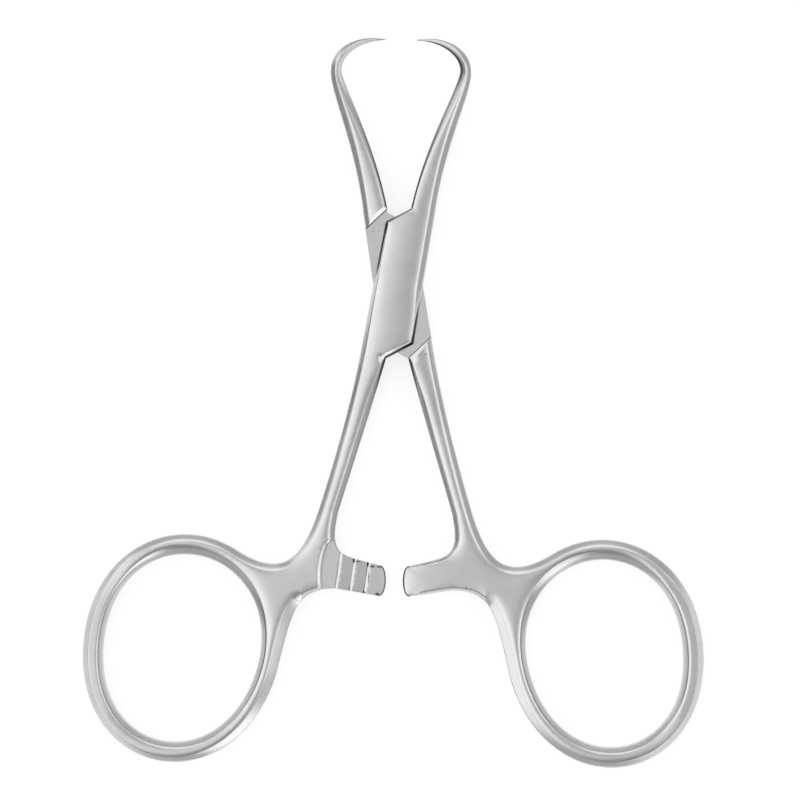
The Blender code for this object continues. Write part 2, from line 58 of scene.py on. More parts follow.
# Plan points nearer to each other than this are one point, in mm.
SAME = 1e-4
# Fewest steps of a curve.
FEWEST = 4
# Two sizes, or a place in plan.
Pair = tuple[float, float]
# Place on a line, with the line's direction there.
Span = tuple[Vector, Vector]
Socket = bpy.types.NodeSocket


def mix(start: float, end: float, share: float) -> float:
    """Value at a share of the way from start to end."""
    return start + (end - start) * share


def ease(share: float) -> float:
    """Smooth step from 0 to 1."""
    share = min(max(share, 0.0), 1.0)
    return share * share * (3 - 2 * share)


def parabola(start: float, middle: float, end: float, share: float) -> float:
    """Size on a parabola through three sizes at 0, a half and 1."""
    return (start * (1 - share) * (1 - 2 * share) + 4 * middle * share * (1 - share)
            + end * share * (2 * share - 1))


def towards(angle: float) -> Vector:
    """Plan direction that leans by an angle from +Y to +X."""
    return Vector((math.sin(angle), math.cos(angle)))


def turned(point: Sequence[float], angle: float) -> Vector:
    """Plan point turned anticlockwise about the pivot."""
    return Vector((point[0] * math.cos(angle) - point[1] * math.sin(angle),
                   point[0] * math.sin(angle) + point[1] * math.cos(angle)))


def mirrored(point: Sequence[float]) -> Vector:
    """Plan point on the other side of the middle line."""
    return Vector((-point[0], point[1]))


def below(point: Sequence[float]) -> Vector:
    """Plan point from its distances left of the middle line and below the pivot."""
    return Vector((-point[0], -point[1]))


def curve(start: Vector, pull_start: Vector, pull_end: Vector, end: Vector,
          spacing: float) -> list[Span]:
    """Cubic curve between two points.

    Args:
        start: First point.
        pull_start: Control point that the curve leaves towards.
        pull_end: Control point that the curve arrives from.
        end: Last point.
        spacing: Wanted distance between the points, in mm.

    Returns:
        Points with the curve's direction at each.
    """
    corners = [Vector(corner) for corner in (start, pull_start, pull_end, end)]
    sides = [corners[i + 1] - corners[i] for i in range(3)]
    steps = max(FEWEST, math.ceil(sum(side.length for side in sides) / spacing))
    spans = []
    for step in range(steps + 1):
        t = step / steps
        weights = ((1 - t) ** 3, 3 * (1 - t) ** 2 * t, 3 * (1 - t) * t * t, t ** 3)
        rates = ((1 - t) ** 2, 2 * (1 - t) * t, t * t)
        place = sum((w * c for w, c in zip(weights, corners)), Vector((0, 0)))
        heading = sum((r * s for r, s in zip(rates, sides)), Vector((0, 0)))
        spans.append((place, heading.normalized()))
    return spans


def straight(start: Vector, end: Vector, spacing: float) -> list[Vector]:
    """Evenly spaced points from start to end."""
    steps = max(1, math.ceil((end - start).length / spacing))
    return [start.lerp(end, step / steps) for step in range(steps + 1)]


@dataclass(frozen=True)
class EdgeStyle:
    """How a forging's surface falls from its face to the outline.

    Attributes:
        strip: Plan width from the outline to the face, in mm.
        base: Height at the outline, as a share of the half thickness.
        foot: Share of the strip that the side wall takes.
        wall: Height where that wall ends.
        crest: Height where the strip meets the face.
        rise: How far the face goes on rising, in strips.
        soft: Rounding between strip and face.
        painted_shade: How dark the side wall is painted, as painted shade.
        line: How dark the fine line between strip and face is painted, as painted shade.
    """

    strip: float = 0.0
    base: float = 0.0
    foot: float = 0.0
    wall: float = 0.0
    crest: float = 0.0
    rise: float = 0.0
    soft: float = 0.0
    painted_shade: float = 0.0
    line: float = 0.0

    def blend(self, other: EdgeStyle, share: float) -> EdgeStyle:
        """Style at a share of the way from this one to another."""
        pairs = zip(self.values(), other.values())
        return EdgeStyle(*(mix(mine, theirs, share) for mine, theirs in pairs))

    def widened(self, strip: float) -> EdgeStyle:
        """The same style with another strip width."""
        return replace(self, strip=strip)

    def sloped(self, half: float, facet: float, wall: float) -> EdgeStyle:
        """The same style with set slopes.

        Args:
            half: Half thickness in mm.
            facet: Slope of the strip.
            wall: Slope of the side wall.

        Returns:
            The style, with its wall and base moved.
        """
        top = self.crest - facet * self.strip * (1 - self.foot) / half
        return replace(self, wall=top, base=top - wall * self.strip * self.foot / half)

    def values(self) -> tuple[float, ...]:
        """All the sizes in order."""
        return astuple(self)


class Edge(Enum):
    """Edge styles of the clamp, with their sizes in order.

    A jaw's styles leave out what its grind and the slopes of its edges give.
    """

    # The eighth and ninth sizes, where given, darken the side wall and the line between
    # strip and face, as painted shade.
    SHANK_OUTER = EdgeStyle(0.66, 0.52, 0.10, 0.61, 0.915, 0.55, 0.08)
    SHANK_INNER = EdgeStyle(0.52, 0.52, 0.24, 0.66, 0.90, 0.6, 0.11, 0.6)
    LOCK_OUTER = EdgeStyle(0.68, 0.66, 0.10, 0.735, 0.955, 0.8, 0.05)
    CHEEK = EdgeStyle(0.38, 0.70, 0.66, 0.89, 0.965, 0.9, 0.03, 1.0)
    CHEEK_TOP = EdgeStyle(0.34, 0.70, 0.50, 0.90, 0.975, 1.4, 0.012, 0.8)
    CHEEK_FOOT = EdgeStyle(0.66, 0.66, 0.34, 0.83, 0.975, 1.0, 0.012, 1.0)
    JAW_OUTER = EdgeStyle(foot=0.10, rise=1.2, soft=0.13)
    JAW_INNER = EdgeStyle(foot=0.14, rise=0.8, soft=0.13, painted_shade=0.3)
    JAW_HEEL = EdgeStyle(strip=0.66, foot=0.10, crest=0.955, rise=0.8, soft=0.05)
    JAW_ROOT = EdgeStyle(strip=0.30, foot=0.50, crest=0.95, rise=1.2, soft=0.06,
                         painted_shade=1.0)
    RING_OUTER = EdgeStyle(0.66, 0.46, 0.10, 0.56, 0.90, 0.5, 0.07)
    RING_FLAT = EdgeStyle(0.70, 0.45, 0.10, 0.54, 0.985, 1.2, 0.02)
    RING_SLANT = EdgeStyle(0.95, 0.58, 0.08, 0.67, 0.90, 0.32, 0.05, 0.0, 0.1)
    RING_HOLE = EdgeStyle(0.62, 0.38, 0.10, 0.48, 0.90, 0.5, 0.07)
    RING_LINE = EdgeStyle(0.62, 0.38, 0.10, 0.48, 0.90, 0.5, 0.07, 0.0, 0.55)
    RING_SOFT = EdgeStyle(0.66, 0.40, 0.10, 0.50, 0.99, 0.8, 0.18)
    RING_TOP = EdgeStyle(0.86, 0.32, 0.10, 0.42, 0.86, 0.6, 0.16, 0.0, 0.3)
    BAR = EdgeStyle(0.34, 0.62, 0.20, 0.76, 0.96, 1.2, 0.04, 0.2)
    BAR_TIP = EdgeStyle(0.26, 0.66, 0.50, 0.80, 0.86, 5.0, 0.03, 1.0)
    CROTCH = EdgeStyle(0.46, 0.56, 0.16, 0.68, 0.94, 0.7, 0.04, 0.3, 0.7)


@dataclass
class Chain:
    """Smooth stretch of an outline with an edge style at each point."""

    points: list[Vector] = field(default_factory=list)
    styles: list[EdgeStyle] = field(default_factory=list)

    def add(self, points: Iterable[Vector], start: EdgeStyle, end: EdgeStyle) -> Chain:
        """Carry the stretch on through more points.

        Args:
            points: The points. A first one that repeats the last is left out.
            start: Edge style at the first of them.
            end: Edge style at the last.

        Returns:
            The chain itself.
        """
        points = list(points)
        for step, point in enumerate(points):
            if self.points and (point - self.points[-1]).length < SAME:
                continue
            self.points.append(point)
            self.styles.append(start.blend(end, ease(step / max(1, len(points) - 1))))
        return self

    def arrays(self) -> tuple[np.ndarray, np.ndarray]:
        """Points and style values as arrays."""
        return (np.array([tuple(point) for point in self.points]),
                np.array([style.values() for style in self.styles]))

    def inward(self) -> np.ndarray:
        """Directions into the body at each point of a clockwise outline.

        Returns:
            Unit vectors, one to a row.
        """
        points, _ = self.arrays()
        steps = np.diff(points, axis=0)
        steps /= np.linalg.norm(steps, axis=1)[:, None]
        before = np.vstack([steps[:1], steps])
        after = np.vstack([steps, steps[-1:]])
        headings = before + after
        headings /= np.linalg.norm(headings, axis=1)[:, None]
        return np.column_stack([headings[:, 1], -headings[:, 0]])


def project(points: np.ndarray, starts: np.ndarray, ends: np.ndarray,
            weights: tuple[np.ndarray, np.ndarray] | None = None, batch: int = 2000
            ) -> tuple[np.ndarray, np.ndarray, np.ndarray]:
    """Nearest place on a run of segments for each point.

    Args:
        points: Plan points, one to a row.
        starts: Starts of the segments.
        ends: Ends of the segments.
        weights: Divisors of the distance at the starts and the ends, if any.
        batch: Points taken at a time, to spare memory.

    Returns:
        Index of the segment, share along it, and the divided distance.
    """
    sides = ends - starts
    # A segment of no length counts as its start.
    squares = np.maximum((sides * sides).sum(axis=1), np.finfo(np.float32).tiny)
    best = [np.zeros(len(points), int), np.zeros(len(points)), np.zeros(len(points))]
    for low in range(0, len(points), batch):
        block = points[low:low + batch]
        offset = block[:, None, :] - starts[None, :, :]
        share = np.clip((offset * sides).sum(axis=2) / squares, 0, 1)
        gap = np.linalg.norm(offset - share[:, :, None] * sides, axis=2)
        if weights is not None:
            gap = gap / (weights[0] + (weights[1] - weights[0]) * share)
        nearest = gap.argmin(axis=1)
        rows = np.arange(len(block))
        for kept, found in zip(best, (nearest, share[rows, nearest], gap[rows, nearest])):
            kept[low:low + batch] = found
    return best[0], best[1], best[2]


def soft_min(one: np.ndarray, other: np.ndarray, soft: np.ndarray | float) -> np.ndarray:
    """Lower of two heights, rounded where they cross."""
    near = np.maximum(soft - np.abs(one - other), 0) / soft
    return np.minimum(one, other) - near * near * soft / 4


def fall_off(place: np.ndarray, styles: np.ndarray, wall_soft: float = 0.03) -> np.ndarray:
    """Height of the surface, as a share of the half thickness.

    Args:
        place: Distance from the outline in strips.
        styles: Edge style values, one row to a point.
        wall_soft: Rounding between the side wall and the strip.

    Returns:
        Shares between 0 and 1.
    """
    _, base, foot, wall, crest, rise, soft, _, _ = styles.T
    side = base + (wall - base) * place / foot
    facet = wall + (crest - wall) * (place - foot) / (1 - foot)
    past = np.maximum(place - 1, 0)
    curved = crest + (1 - crest) * (1 - np.exp(-past / rise))
    face = np.where(place > 1, curved, crest + (1 - crest) / rise * (place - 1))
    return soft_min(soft_min(facet, face, soft), side, wall_soft)


class Surface:
    """Height of a forging above and below its middle plane, as a field over the plan.

    Attributes:
        LINE: Half width of the painted dark line between strip and face, in strips.
        BARE: Share of the side wall over which its painted shade fades in from the outline.
        FADE: How fast the painted shade ends beyond the wall, for each depth of the wall.
    """

    LINE = 0.13
    BARE = 0.12
    FADE = 4

    def __init__(self, chains: Sequence[Chain], spine: Spine, lock: Lock) -> None:
        """Keep the outline's chains and the spine that gives the thickness.

        Args:
            chains: Stretches of the outline and of the hole.
            spine: Thickness along the forging.
            lock: Lock whose faces are crowned.
        """
        self.chains = [chain.arrays() for chain in chains]
        self.spine = spine
        self.lock = lock

    def places(self, points: np.ndarray) -> np.ndarray:
        """Distance from the nearest edge.

        Args:
            points: Plan points.

        Returns:
            Distance of each point, in strips.
        """
        lowest = np.full(len(points), np.inf)
        for line, styles in self.chains:
            _, _, gap = project(points, line[:-1], line[1:], (styles[:-1, 0], styles[1:, 0]))
            lowest = np.minimum(lowest, gap)
        return lowest

    def heights(self, points: np.ndarray) -> tuple[np.ndarray, np.ndarray]:
        """Shape of the surface over the plan.

        Args:
            points: Plan points.

        Returns:
            Half thickness in mm, and how dark shade is painted on the surface.
        """
        share, painted_shade = np.ones(len(points)), np.zeros(len(points))
        for line, styles in self.chains:
            index, along, place = project(points, line[:-1], line[1:],
                                          (styles[:-1, 0], styles[1:, 0]))
            style = styles[index] + (styles[index + 1] - styles[index]) * along[:, None]
            share = np.minimum(share, fall_off(place, style))
            # Painted shade: dark over the side wall and along a thin line where strip meets
            # face, standing in for the shade and dark reflections there.
            _, _, foot, _, _, _, _, shade_paint, fine = style.T
            depth = place / foot
            wall = (np.clip(1 + self.FADE * (1 - depth), 0, 1)
                    * np.clip(depth / self.BARE, 0, 1))
            crest = np.clip(1 - np.abs(place - 1) / self.LINE, 0, 1)
            painted_shade = np.maximum(painted_shade, np.maximum(shade_paint * wall, fine * crest))
        return share * self.spine.half(points) - self.lock.crowning(points), painted_shade


class Spine:
    """Half thickness along the middle line of a forging, from its needle point down."""

    def __init__(self, points: Sequence[Vector], halves: Sequence[float]) -> None:
        """Keep the line.

        Args:
            points: Places along the middle line.
            halves: Half thickness at each.
        """
        self.line = np.array([tuple(point) for point in points])
        self.halves = np.array(halves)

    def half(self, points: np.ndarray) -> np.ndarray:
        """Half thickness beside the nearest place of the spine."""
        index, share, _ = project(points, self.line[:-1], self.line[1:])
        return self.halves[index] + (self.halves[index + 1] - self.halves[index]) * share


@dataclass(frozen=True)
class Lock:
    """Box lock: the slotted box, the tongue that turns in it, and its shoulders.

    Attributes:
        thickness: Height over both cheeks.
        width: Width of a half's body at the pivot.
        taper: How much narrower the body is on each side for each mm up.
        lean: Lean of the body from +Y towards +X.
        top: Height of the free upper corner above the pivot.
        bottom: Depth of the free lower corner below it.
        free: Distances above and below the pivot where the free edges' grind is reached.
        tongue: Thickness of the tongue.
        play: Gap over and under the tongue.
        drop: How far the tongue half's upper end lies below the box half's.
        fillet: Size of the fillet at that end.
        clearance: Gap between the tongue and the slot's walls.
        reach: How far the slot's walls run out.
        slope: Angle of the tongue's shoulders from +X.
        shoulder_top: Distance of the upper shoulder's outer end from the pivot.
        shoulder_bottom: Distance of the lower one's.
        chamfer: Height of the chamfer on the shoulders.
        chamfer_slope: Run of the chamfer for each mm of its height.
        crease: Half width of the crease along a shoulder.
        crease_rim: How far the crease's cutter stands above the tongue.
        crease_depth: Depth of the crease.
        shade_paint: Depth in a crease from which it is painted dark, as painted shade.
        cut_reach: How far the recesses' cutters run out.
        overcut: How far they stand above the cheeks.
        crown: How much lower the cheeks are at their edges than in the middle.
        crown_ends: Distances up and down where the crown starts to fade and is gone.
        closing: How far the tongue turns to closed.
        opening: How far it turns to fully open.
        ROUNDS: Rounds in which a shoulder's end is found.
    """

    thickness: float = 4.2
    width: float = 6.07
    taper: float = 0.018
    lean: float = math.radians(9.3)
    top: float = 7.9
    bottom: float = 7.3
    free: Pair = (2.6, 4.6)
    tongue: float = 1.7
    play: float = 0.05
    drop: float = 0.5
    fillet: float = 0.72
    clearance: float = 0.15
    reach: float = 10.0
    slope: float = math.radians(44)
    shoulder_top: float = 8.13
    shoulder_bottom: float = 7.65
    chamfer: float = 0.36
    chamfer_slope: float = 1.4
    crease: float = 0.13
    crease_rim: float = 0.1
    crease_depth: float = 0.2
    shade_paint: float = 0.02
    cut_reach: float = 12.0
    overcut: float = 1.0
    crown: float = 0.16
    crown_ends: Pair = (7.5, 14.0)
    closing: float = math.radians(7)
    opening: float = math.radians(50)
    ROUNDS = 20

    @property
    def half(self) -> float:
        """Half of the thickness, which is also the height of the middle plane."""
        return self.thickness / 2

    def edge(self, side: int, y: float) -> Vector:
        """Edge of the lock body at a height: side +1 is the right edge, -1 the left."""
        half = (self.width / 2 - self.taper * y) / math.cos(self.lean)
        return Vector((math.tan(self.lean) * y + side * half, y))

    def crowning(self, points: np.ndarray) -> np.ndarray:
        """How far the cheeks' faces fall away sideways from the lock's middle line.

        Args:
            points: Plan points.

        Returns:
            Fall at each point, in mm.
        """
        across = (points[:, 0] * math.cos(self.lean) - points[:, 1] * math.sin(self.lean))
        start, end = self.crown_ends
        fade = np.clip((end - np.abs(points[:, 1])) / (end - start), 0, 1)
        return self.crown * (across / self.width * 2) ** 2 * fade * fade * (3 - 2 * fade)

    def shoulder(self, sign: int, radius: float) -> Vector:
        """Outer end of a shoulder of the tongue half, found in a few rounds.

        Args:
            sign: +1 for the upper shoulder, -1 for the lower.
            radius: Its distance from the pivot.

        Returns:
            Plan point on the right edge.
        """
        y = sign * radius
        for _ in range(self.ROUNDS):
            y *= radius / self.edge(sign, y).length
        return self.edge(sign, y)


@dataclass(frozen=True)
class Station:
    """Cross section of an arm: place, direction, width, half thickness, share of the way."""

    place: Vector
    heading: Vector
    width: float
    half: float
    share: float

    def side(self, sign: int) -> Vector:
        """Edge point, right of the heading for +1 and left of it for -1."""
        return self.place + Vector((self.heading.y, -self.heading.x)) * sign * self.width / 2


def stationed(line: Sequence[Span], sizes: Callable[[float], Pair]) -> list[Station]:
    """Cross sections along an arm.

    Args:
        line: Its middle line.
        sizes: Gives width and half thickness at a share of the way.

    Returns:
        One station for each point of the line.
    """
    shares = [step / (len(line) - 1) for step in range(len(line))]
    return [Station(place, heading, *sizes(share), share)
            for (place, heading), share in zip(line, shares)]


@dataclass(frozen=True)
class Jaw:
    """Tapered blade that bends into a hook with a needle point.

    Attributes:
        root: Where the blade leaves the lock.
        lean: Its lean there from +Y towards +X.
        spread: Distance of the bend from the middle line.
        bend: Height of the bend.
        root_width: Width at the lock.
        middle_width: Width half way up the blade.
        bend_width: Width at the bend.
        bend_thickness: Thickness at the bend.
        thinning: Power of the way up by which the blade thins.
        blade_pull: How far the blade keeps straight at its root and below the bend.
        hook_pull: How far the hook keeps straight above the bend and before the point.
        tip: Needle point.
        tip_dip: How far the point dips from level.
        tip_width: Width and thickness of the point.
        fullness: Power of the way along by which the hook narrows.
        spacing: Distance between stations.
    """

    root: Pair = (2.99, 9.3)
    lean: float = math.radians(9.5)
    spread: float = 8.07
    bend: float = 26.7
    root_width: float = 3.05
    middle_width: float = 2.1
    bend_width: float = 1.36
    bend_thickness: float = 1.9
    thinning: float = 0.8
    blade_pull: Pair = (8.65, 2.35)
    hook_pull: Pair = (2.4, 3.4)
    tip: Pair = (1.9, 30.57)
    tip_dip: float = math.radians(5.4)
    tip_width: float = 0.08
    fullness: float = 1.9
    spacing: float = 0.15

    def blade(self, lock: Lock) -> list[Station]:
        """Stations from the lock to the bend.

        Args:
            lock: Lock that the blade leaves.

        Returns:
            The stations, upwards.
        """
        root, bend = Vector(self.root), Vector((self.spread, self.bend))
        line = curve(root, root + towards(self.lean) * self.blade_pull[0],
                     bend - Vector((0, self.blade_pull[1])), bend, self.spacing)

        def sizes(share: float) -> Pair:
            """Width and half thickness at a share of the blade."""
            return (parabola(self.root_width, self.middle_width, self.bend_width, share),
                    mix(lock.thickness, self.bend_thickness, share ** self.thinning) / 2)

        return stationed(line, sizes)

    def hook(self) -> list[Station]:
        """Stations from the bend to the needle point.

        Returns:
            The stations, towards the point.
        """
        bend, tip = Vector((self.spread, self.bend)), Vector(self.tip)
        landing = Vector((math.cos(self.tip_dip), math.sin(self.tip_dip)))
        line = curve(bend, bend + Vector((0, self.hook_pull[0])),
                     tip + landing * self.hook_pull[1], tip, self.spacing)

        def sizes(share: float) -> Pair:
            """Width and half thickness at a share of the hook."""
            left = share ** self.fullness
            return (mix(self.bend_width, self.tip_width, left),
                    mix(self.bend_thickness, self.tip_width, left) / 2)

        return stationed(line, sizes)


@dataclass(frozen=True)
class Shank:
    """Straight arm between the lock and the ring.

    Attributes:
        top: Where it leaves the lock, left of the middle line and below the pivot.
        end: Where it runs into the web, likewise.
        top_lean: Its lean at the lock.
        end_lean: Its lean at the web.
        top_width: Width at the lock.
        middle_width: Width half way.
        end_width: Width at the web.
        thickness: Thickness beyond the taper.
        thinning_end: Share of the way where the taper from the lock ends.
        spacing: Distance between stations.
    """

    top: Pair = (2.97, 8.75)
    end: Pair = (8.315, 28.2)
    top_lean: float = math.radians(12.9)
    end_lean: float = math.radians(16.8)
    top_width: float = 3.27
    middle_width: float = 2.58
    end_width: float = 2.42
    thickness: float = 3.0
    thinning_end: float = 0.625
    spacing: float = 0.24

    def stations(self, lock: Lock) -> list[Station]:
        """Stations of the left shank.

        Args:
            lock: Lock that it leaves.

        Returns:
            The stations, from the lock down to the web.
        """
        top, end = below(self.top), below(self.end)
        pull = (end - top).length / 3
        line = curve(top, top - towards(self.top_lean) * pull,
                     end + towards(self.end_lean) * pull, end, self.spacing)

        def sizes(share: float) -> Pair:
            """Width and half thickness at a share of the shank."""
            return (parabola(self.top_width, self.middle_width, self.end_width, share),
                    mix(lock.thickness, self.thickness, ease(share / self.thinning_end)) / 2)

        return stationed(line, sizes)


@dataclass(frozen=True)
class Ring:
    """Egg-shaped finger ring with a band of even width.

    Directions from its centre are counted from the side away from the other ring, and
    grow towards the jaws.

    Attributes:
        centre: Its centre, left of the middle line and below the pivot.
        radius: Mean radius of the finger hole.
        oval: How far the hole is drawn out to an oval.
        oval_angle: Direction of the oval.
        egg: How far it is drawn out to an egg.
        egg_angle: Direction of the egg.
        band: Width of the band.
        web_top: Direction where the band leaves the web on the shank's side.
        web_bottom: Direction where it leaves the web on the bar's side.
        valley_pull: How far ring and shank keep their line between them.
        crotch_pull: How far ring and bar do.
        crotch_turn: Distance from the middle line where bar and ring meet.
        spacing: Distance between points.
        outer_edges: Directions in degrees with the outer edge's style at each.
        hole_edges: The same for the finger hole.
    """

    centre: Pair = (26.4, 45.43)
    radius: float = 10.73
    oval: float = 1.007
    oval_angle: float = math.radians(101.2)
    egg: float = 0.115
    egg_angle: float = math.radians(48.5)
    band: float = 2.5
    web_top: float = math.radians(118)
    web_bottom: float = math.radians(-168)
    valley_pull: Pair = (6.2, 7.8)
    crotch_pull: Pair = (7.6, 5.0)
    crotch_turn: float = 11.1
    spacing: float = 0.24
    outer_edges: tuple[tuple[float, Edge], ...] = (
        (-168, Edge.RING_SLANT), (-85, Edge.RING_OUTER), (-45, Edge.RING_FLAT),
        (25, Edge.RING_FLAT), (60, Edge.RING_OUTER), (118, Edge.RING_OUTER))
    hole_edges: tuple[tuple[float, Edge], ...] = (
        (-180, Edge.RING_LINE), (-145, Edge.RING_LINE), (-110, Edge.RING_HOLE),
        (-60, Edge.RING_HOLE), (-35, Edge.RING_SOFT), (45, Edge.RING_SOFT),
        (85, Edge.RING_TOP), (125, Edge.RING_TOP), (180, Edge.RING_LINE))

    def style(self, angle: float, edges: Sequence[tuple[float, Edge]]) -> EdgeStyle:
        """Edge style at a direction from the ring's centre.

        Args:
            angle: The direction, in radians.
            edges: Directions in degrees with the style at each.

        Returns:
            The style.
        """
        degrees = math.degrees(angle)
        for (start, one), (end, other) in zip(edges, edges[1:]):
            if degrees <= end:
                share = ease((degrees - start) / (end - start))
                return one.value.blend(other.value, share)
        return edges[-1][1].value

    def point(self, angle: float, band: float) -> Vector:
        """Point of the left ring at a direction from its centre; band 0 is the hole."""
        radius = (self.radius + self.oval * math.cos(2 * (angle - self.oval_angle))
                  + self.egg * math.cos(3 * (angle - self.egg_angle)) + band)
        return Vector((-self.centre[0] - radius * math.cos(angle),
                       -self.centre[1] + radius * math.sin(angle)))

    def heading(self, angle: float) -> Vector:
        """Direction of the outer edge, clockwise seen from above."""
        nudge = math.radians(0.5)
        return (self.point(angle + nudge, self.band)
                - self.point(angle - nudge, self.band)).normalized()

    def outside(self) -> list[tuple[Vector, EdgeStyle]]:
        """Outer edge, clockwise from the bar's side of the web to the shank's.

        Returns:
            Points with their styles.
        """
        steps = math.ceil((self.web_top - self.web_bottom) * (self.radius + self.band)
                          / self.spacing)
        angles = [mix(self.web_bottom, self.web_top, step / steps)
                  for step in range(steps + 1)]
        return [(self.point(angle, self.band), self.style(angle, self.outer_edges))
                for angle in angles]

    def hole(self) -> list[tuple[Vector, EdgeStyle]]:
        """Edge of the finger hole, anticlockwise and closed.

        Returns:
            Points with their styles.
        """
        steps = math.ceil(math.tau * self.radius / self.spacing)
        angles = [math.pi - math.tau * step / steps for step in range(steps + 1)]
        return [(self.point(angle, 0.0), self.style(angle, self.hole_edges))
                for angle in angles]


@dataclass(frozen=True)
class Ratchet:
    """Bar between the shanks with three milled teeth on one side.

    Places are distances left of the middle line and below the pivot.

    Attributes:
        shank: Where the upper fillet leaves the shank.
        top: Where it ends in the bar's upper side.
        tip_top: Upper corner of the bar's end.
        tip_bottom: Lower corner of the end.
        bottom: Where the lower side gives way to the crotch.
        tip_pulls: Pulls of the end's curve at its corners.
        fillet_pull: How far the fillet keeps straight at the shank and at the bar.
        fillet_lean: Its lean at the shank.
        play: Gap between the crests and the middle plane.
        pitch: Distance from tooth to tooth.
        face: Run of a tooth's slanting side.
        groove: Half width of the fine groove before a tooth.
        cut: Depth of each tooth's groove.
        shoulder: How far the groove's rim lies below the crests.
        first: Distance of the first groove from the middle line.
        line: Depth of the bar's line below the pivot.
        lean: Slope of the bar.
        step_place: Distance of the cutter's step before the first groove.
        step_height: Place across the bar of the step's middle.
        step_bulge: Curvature of the step.
        step_end: Place across the bar from which the step turns to the edge.
        step_turn: Curvature of that turn.
        step_section: Runs past the step with the drop at each.
        reach: Places across the bar between which its lines are drawn.
        zone: Least and greatest height in plan, and the leftmost place, that the cutter
            reaches.
        spacing: Distance between points.
    """

    shank: Pair = (7.42, 30.2)
    top: Pair = (4.2, 34.32)
    tip_top: Pair = (1.75, 34.92)
    tip_bottom: Pair = (1.9, 38.72)
    bottom: Pair = (7.2, 37.85)
    tip_pulls: tuple[Pair, Pair] = ((0.97, -0.1), (1.09, 0.0))
    fillet_pull: Pair = (3.1, 2.5)
    fillet_lean: float = math.radians(5.7)
    play: float = 0.06
    pitch: float = 1.81
    face: float = 0.32
    groove: float = 0.07
    cut: tuple[float, ...] = (0.08, 0.2, 0.22)
    shoulder: float = 0.07
    first: float = 7.2
    line: float = 36.3
    lean: float = math.radians(7.4)
    step_place: float = 2.29
    step_height: float = 1.25
    step_bulge: float = 0.05
    step_end: float = 3.7
    step_turn: float = 1.2
    step_section: tuple[Pair, ...] = ((-0.2, 0.0), (0.16, 0.13), (0.36, 1.7))
    reach: Pair = (-4.0, 6.6)
    zone: tuple[float, float, float] = (-42.0, -29.0, -14.0)
    spacing: float = 0.2

    def knots(self) -> tuple[list[float], list[float]]:
        """Section of the milled teeth.

        Returns:
            Places along the bar, and heights above the middle plane.
        """
        crest = -self.play
        low = crest - self.shoulder
        runs, heights = [], []
        for tooth, depth in enumerate(self.cut):
            start = tooth * self.pitch
            runs += [start - self.groove, start, start + self.groove, start + self.face]
            heights += [low, low - depth, low, crest]
        runs.append(len(self.cut) * self.pitch + self.first)
        heights.append(low)
        return runs, heights

    def local(self, points: np.ndarray) -> tuple[np.ndarray, np.ndarray]:
        """Places along and across the bar, from the first groove's middle.

        Args:
            points: Plan points.

        Returns:
            Places along, and places across.
        """
        x, y = points[:, 0] + self.first, points[:, 1] + self.line
        cos, sin = math.cos(self.lean), math.sin(self.lean)
        return x * cos - y * sin, x * sin + y * cos

    def step_line(self, across: np.ndarray | float) -> np.ndarray | float:
        """Place along the bar where the round cutter's step starts."""
        past = np.maximum(across - self.step_end, 0)
        return (self.step_bulge * (across - self.step_height) ** 2 - self.step_place
                + self.step_turn * past * past)

    def milled(self, points: np.ndarray, rise: np.ndarray) -> np.ndarray:
        """Height that the milling cutter leaves of a surface.

        Args:
            points: Plan points.
            rise: Height of the surface at each before it is cut.

        Returns:
            Height afterwards.
        """
        run, across = self.local(points)
        starts, drops = np.array(self.step_section).T
        drop = np.interp(run - self.step_line(across), starts, drops)
        cut = np.minimum(rise, np.maximum(rise - drop, np.interp(run, *self.knots())))
        low, high, left = self.zone
        x, y = points[:, 0], points[:, 1]
        return np.where((y > low) & (y < high) & (x > left), cut, rise)

    def lines(self) -> list[list[Vector]]:
        """Plan lines over the bar.

        Returns:
            Lines along the step, the grooves and the crests.
        """
        count = math.ceil((self.reach[1] - self.reach[0]) / self.spacing)
        levels = [mix(*self.reach, step / count) for step in range(count + 1)]
        lines = [[(self.step_line(across) + start, across) for across in levels]
                 for start, _ in self.step_section]
        lines += [[(run, across) for across in levels] for run in self.knots()[0][:-1]]
        shift = Vector((self.first, self.line))
        return [[turned(point, -self.lean) - shift for point in line] for line in lines]


@dataclass(frozen=True)
class Pin:
    """Rivet through the lock, swaged into a countersink in each cheek and ground flush.

    Attributes:
        diameter: Diameter of its shaft.
        head: Diameter of its swaged ends.
        head_depth: Depth of the countersinks.
        seat_gap: Gap between the pin and the cheeks.
        running_gap: Gap between the pin and the tongue.
        overrun: How far the seat's cutter stands out of the lock.
        segments: Sides of its circles.
    """

    diameter: float = 2.4
    head: float = 3.0
    head_depth: float = 0.45
    seat_gap: float = 0.006
    running_gap: float = 0.05
    overrun: float = 0.2
    segments: int = 72

    def seat(self, lock: Lock) -> list[Pair]:
        """Half section of the hole in the cheeks.

        Args:
            lock: Lock that it goes through.

        Returns:
            Radii and heights, from above the lock to below it.
        """
        radius, head = self.diameter / 2 + self.seat_gap, self.head / 2 + self.seat_gap
        mouth = head + self.overrun * (head - radius) / self.head_depth
        top, bottom = lock.thickness + self.overrun, -self.overrun
        return [(0, top), (mouth, top), (radius, lock.thickness - self.head_depth),
                (radius, self.head_depth), (mouth, bottom), (0, bottom)]

    def bore(self, lock: Lock) -> list[Pair]:
        """Half section of the running hole in the tongue."""
        radius = self.diameter / 2 + self.running_gap
        return [(0, lock.thickness), (radius, lock.thickness), (radius, 0), (0, 0)]


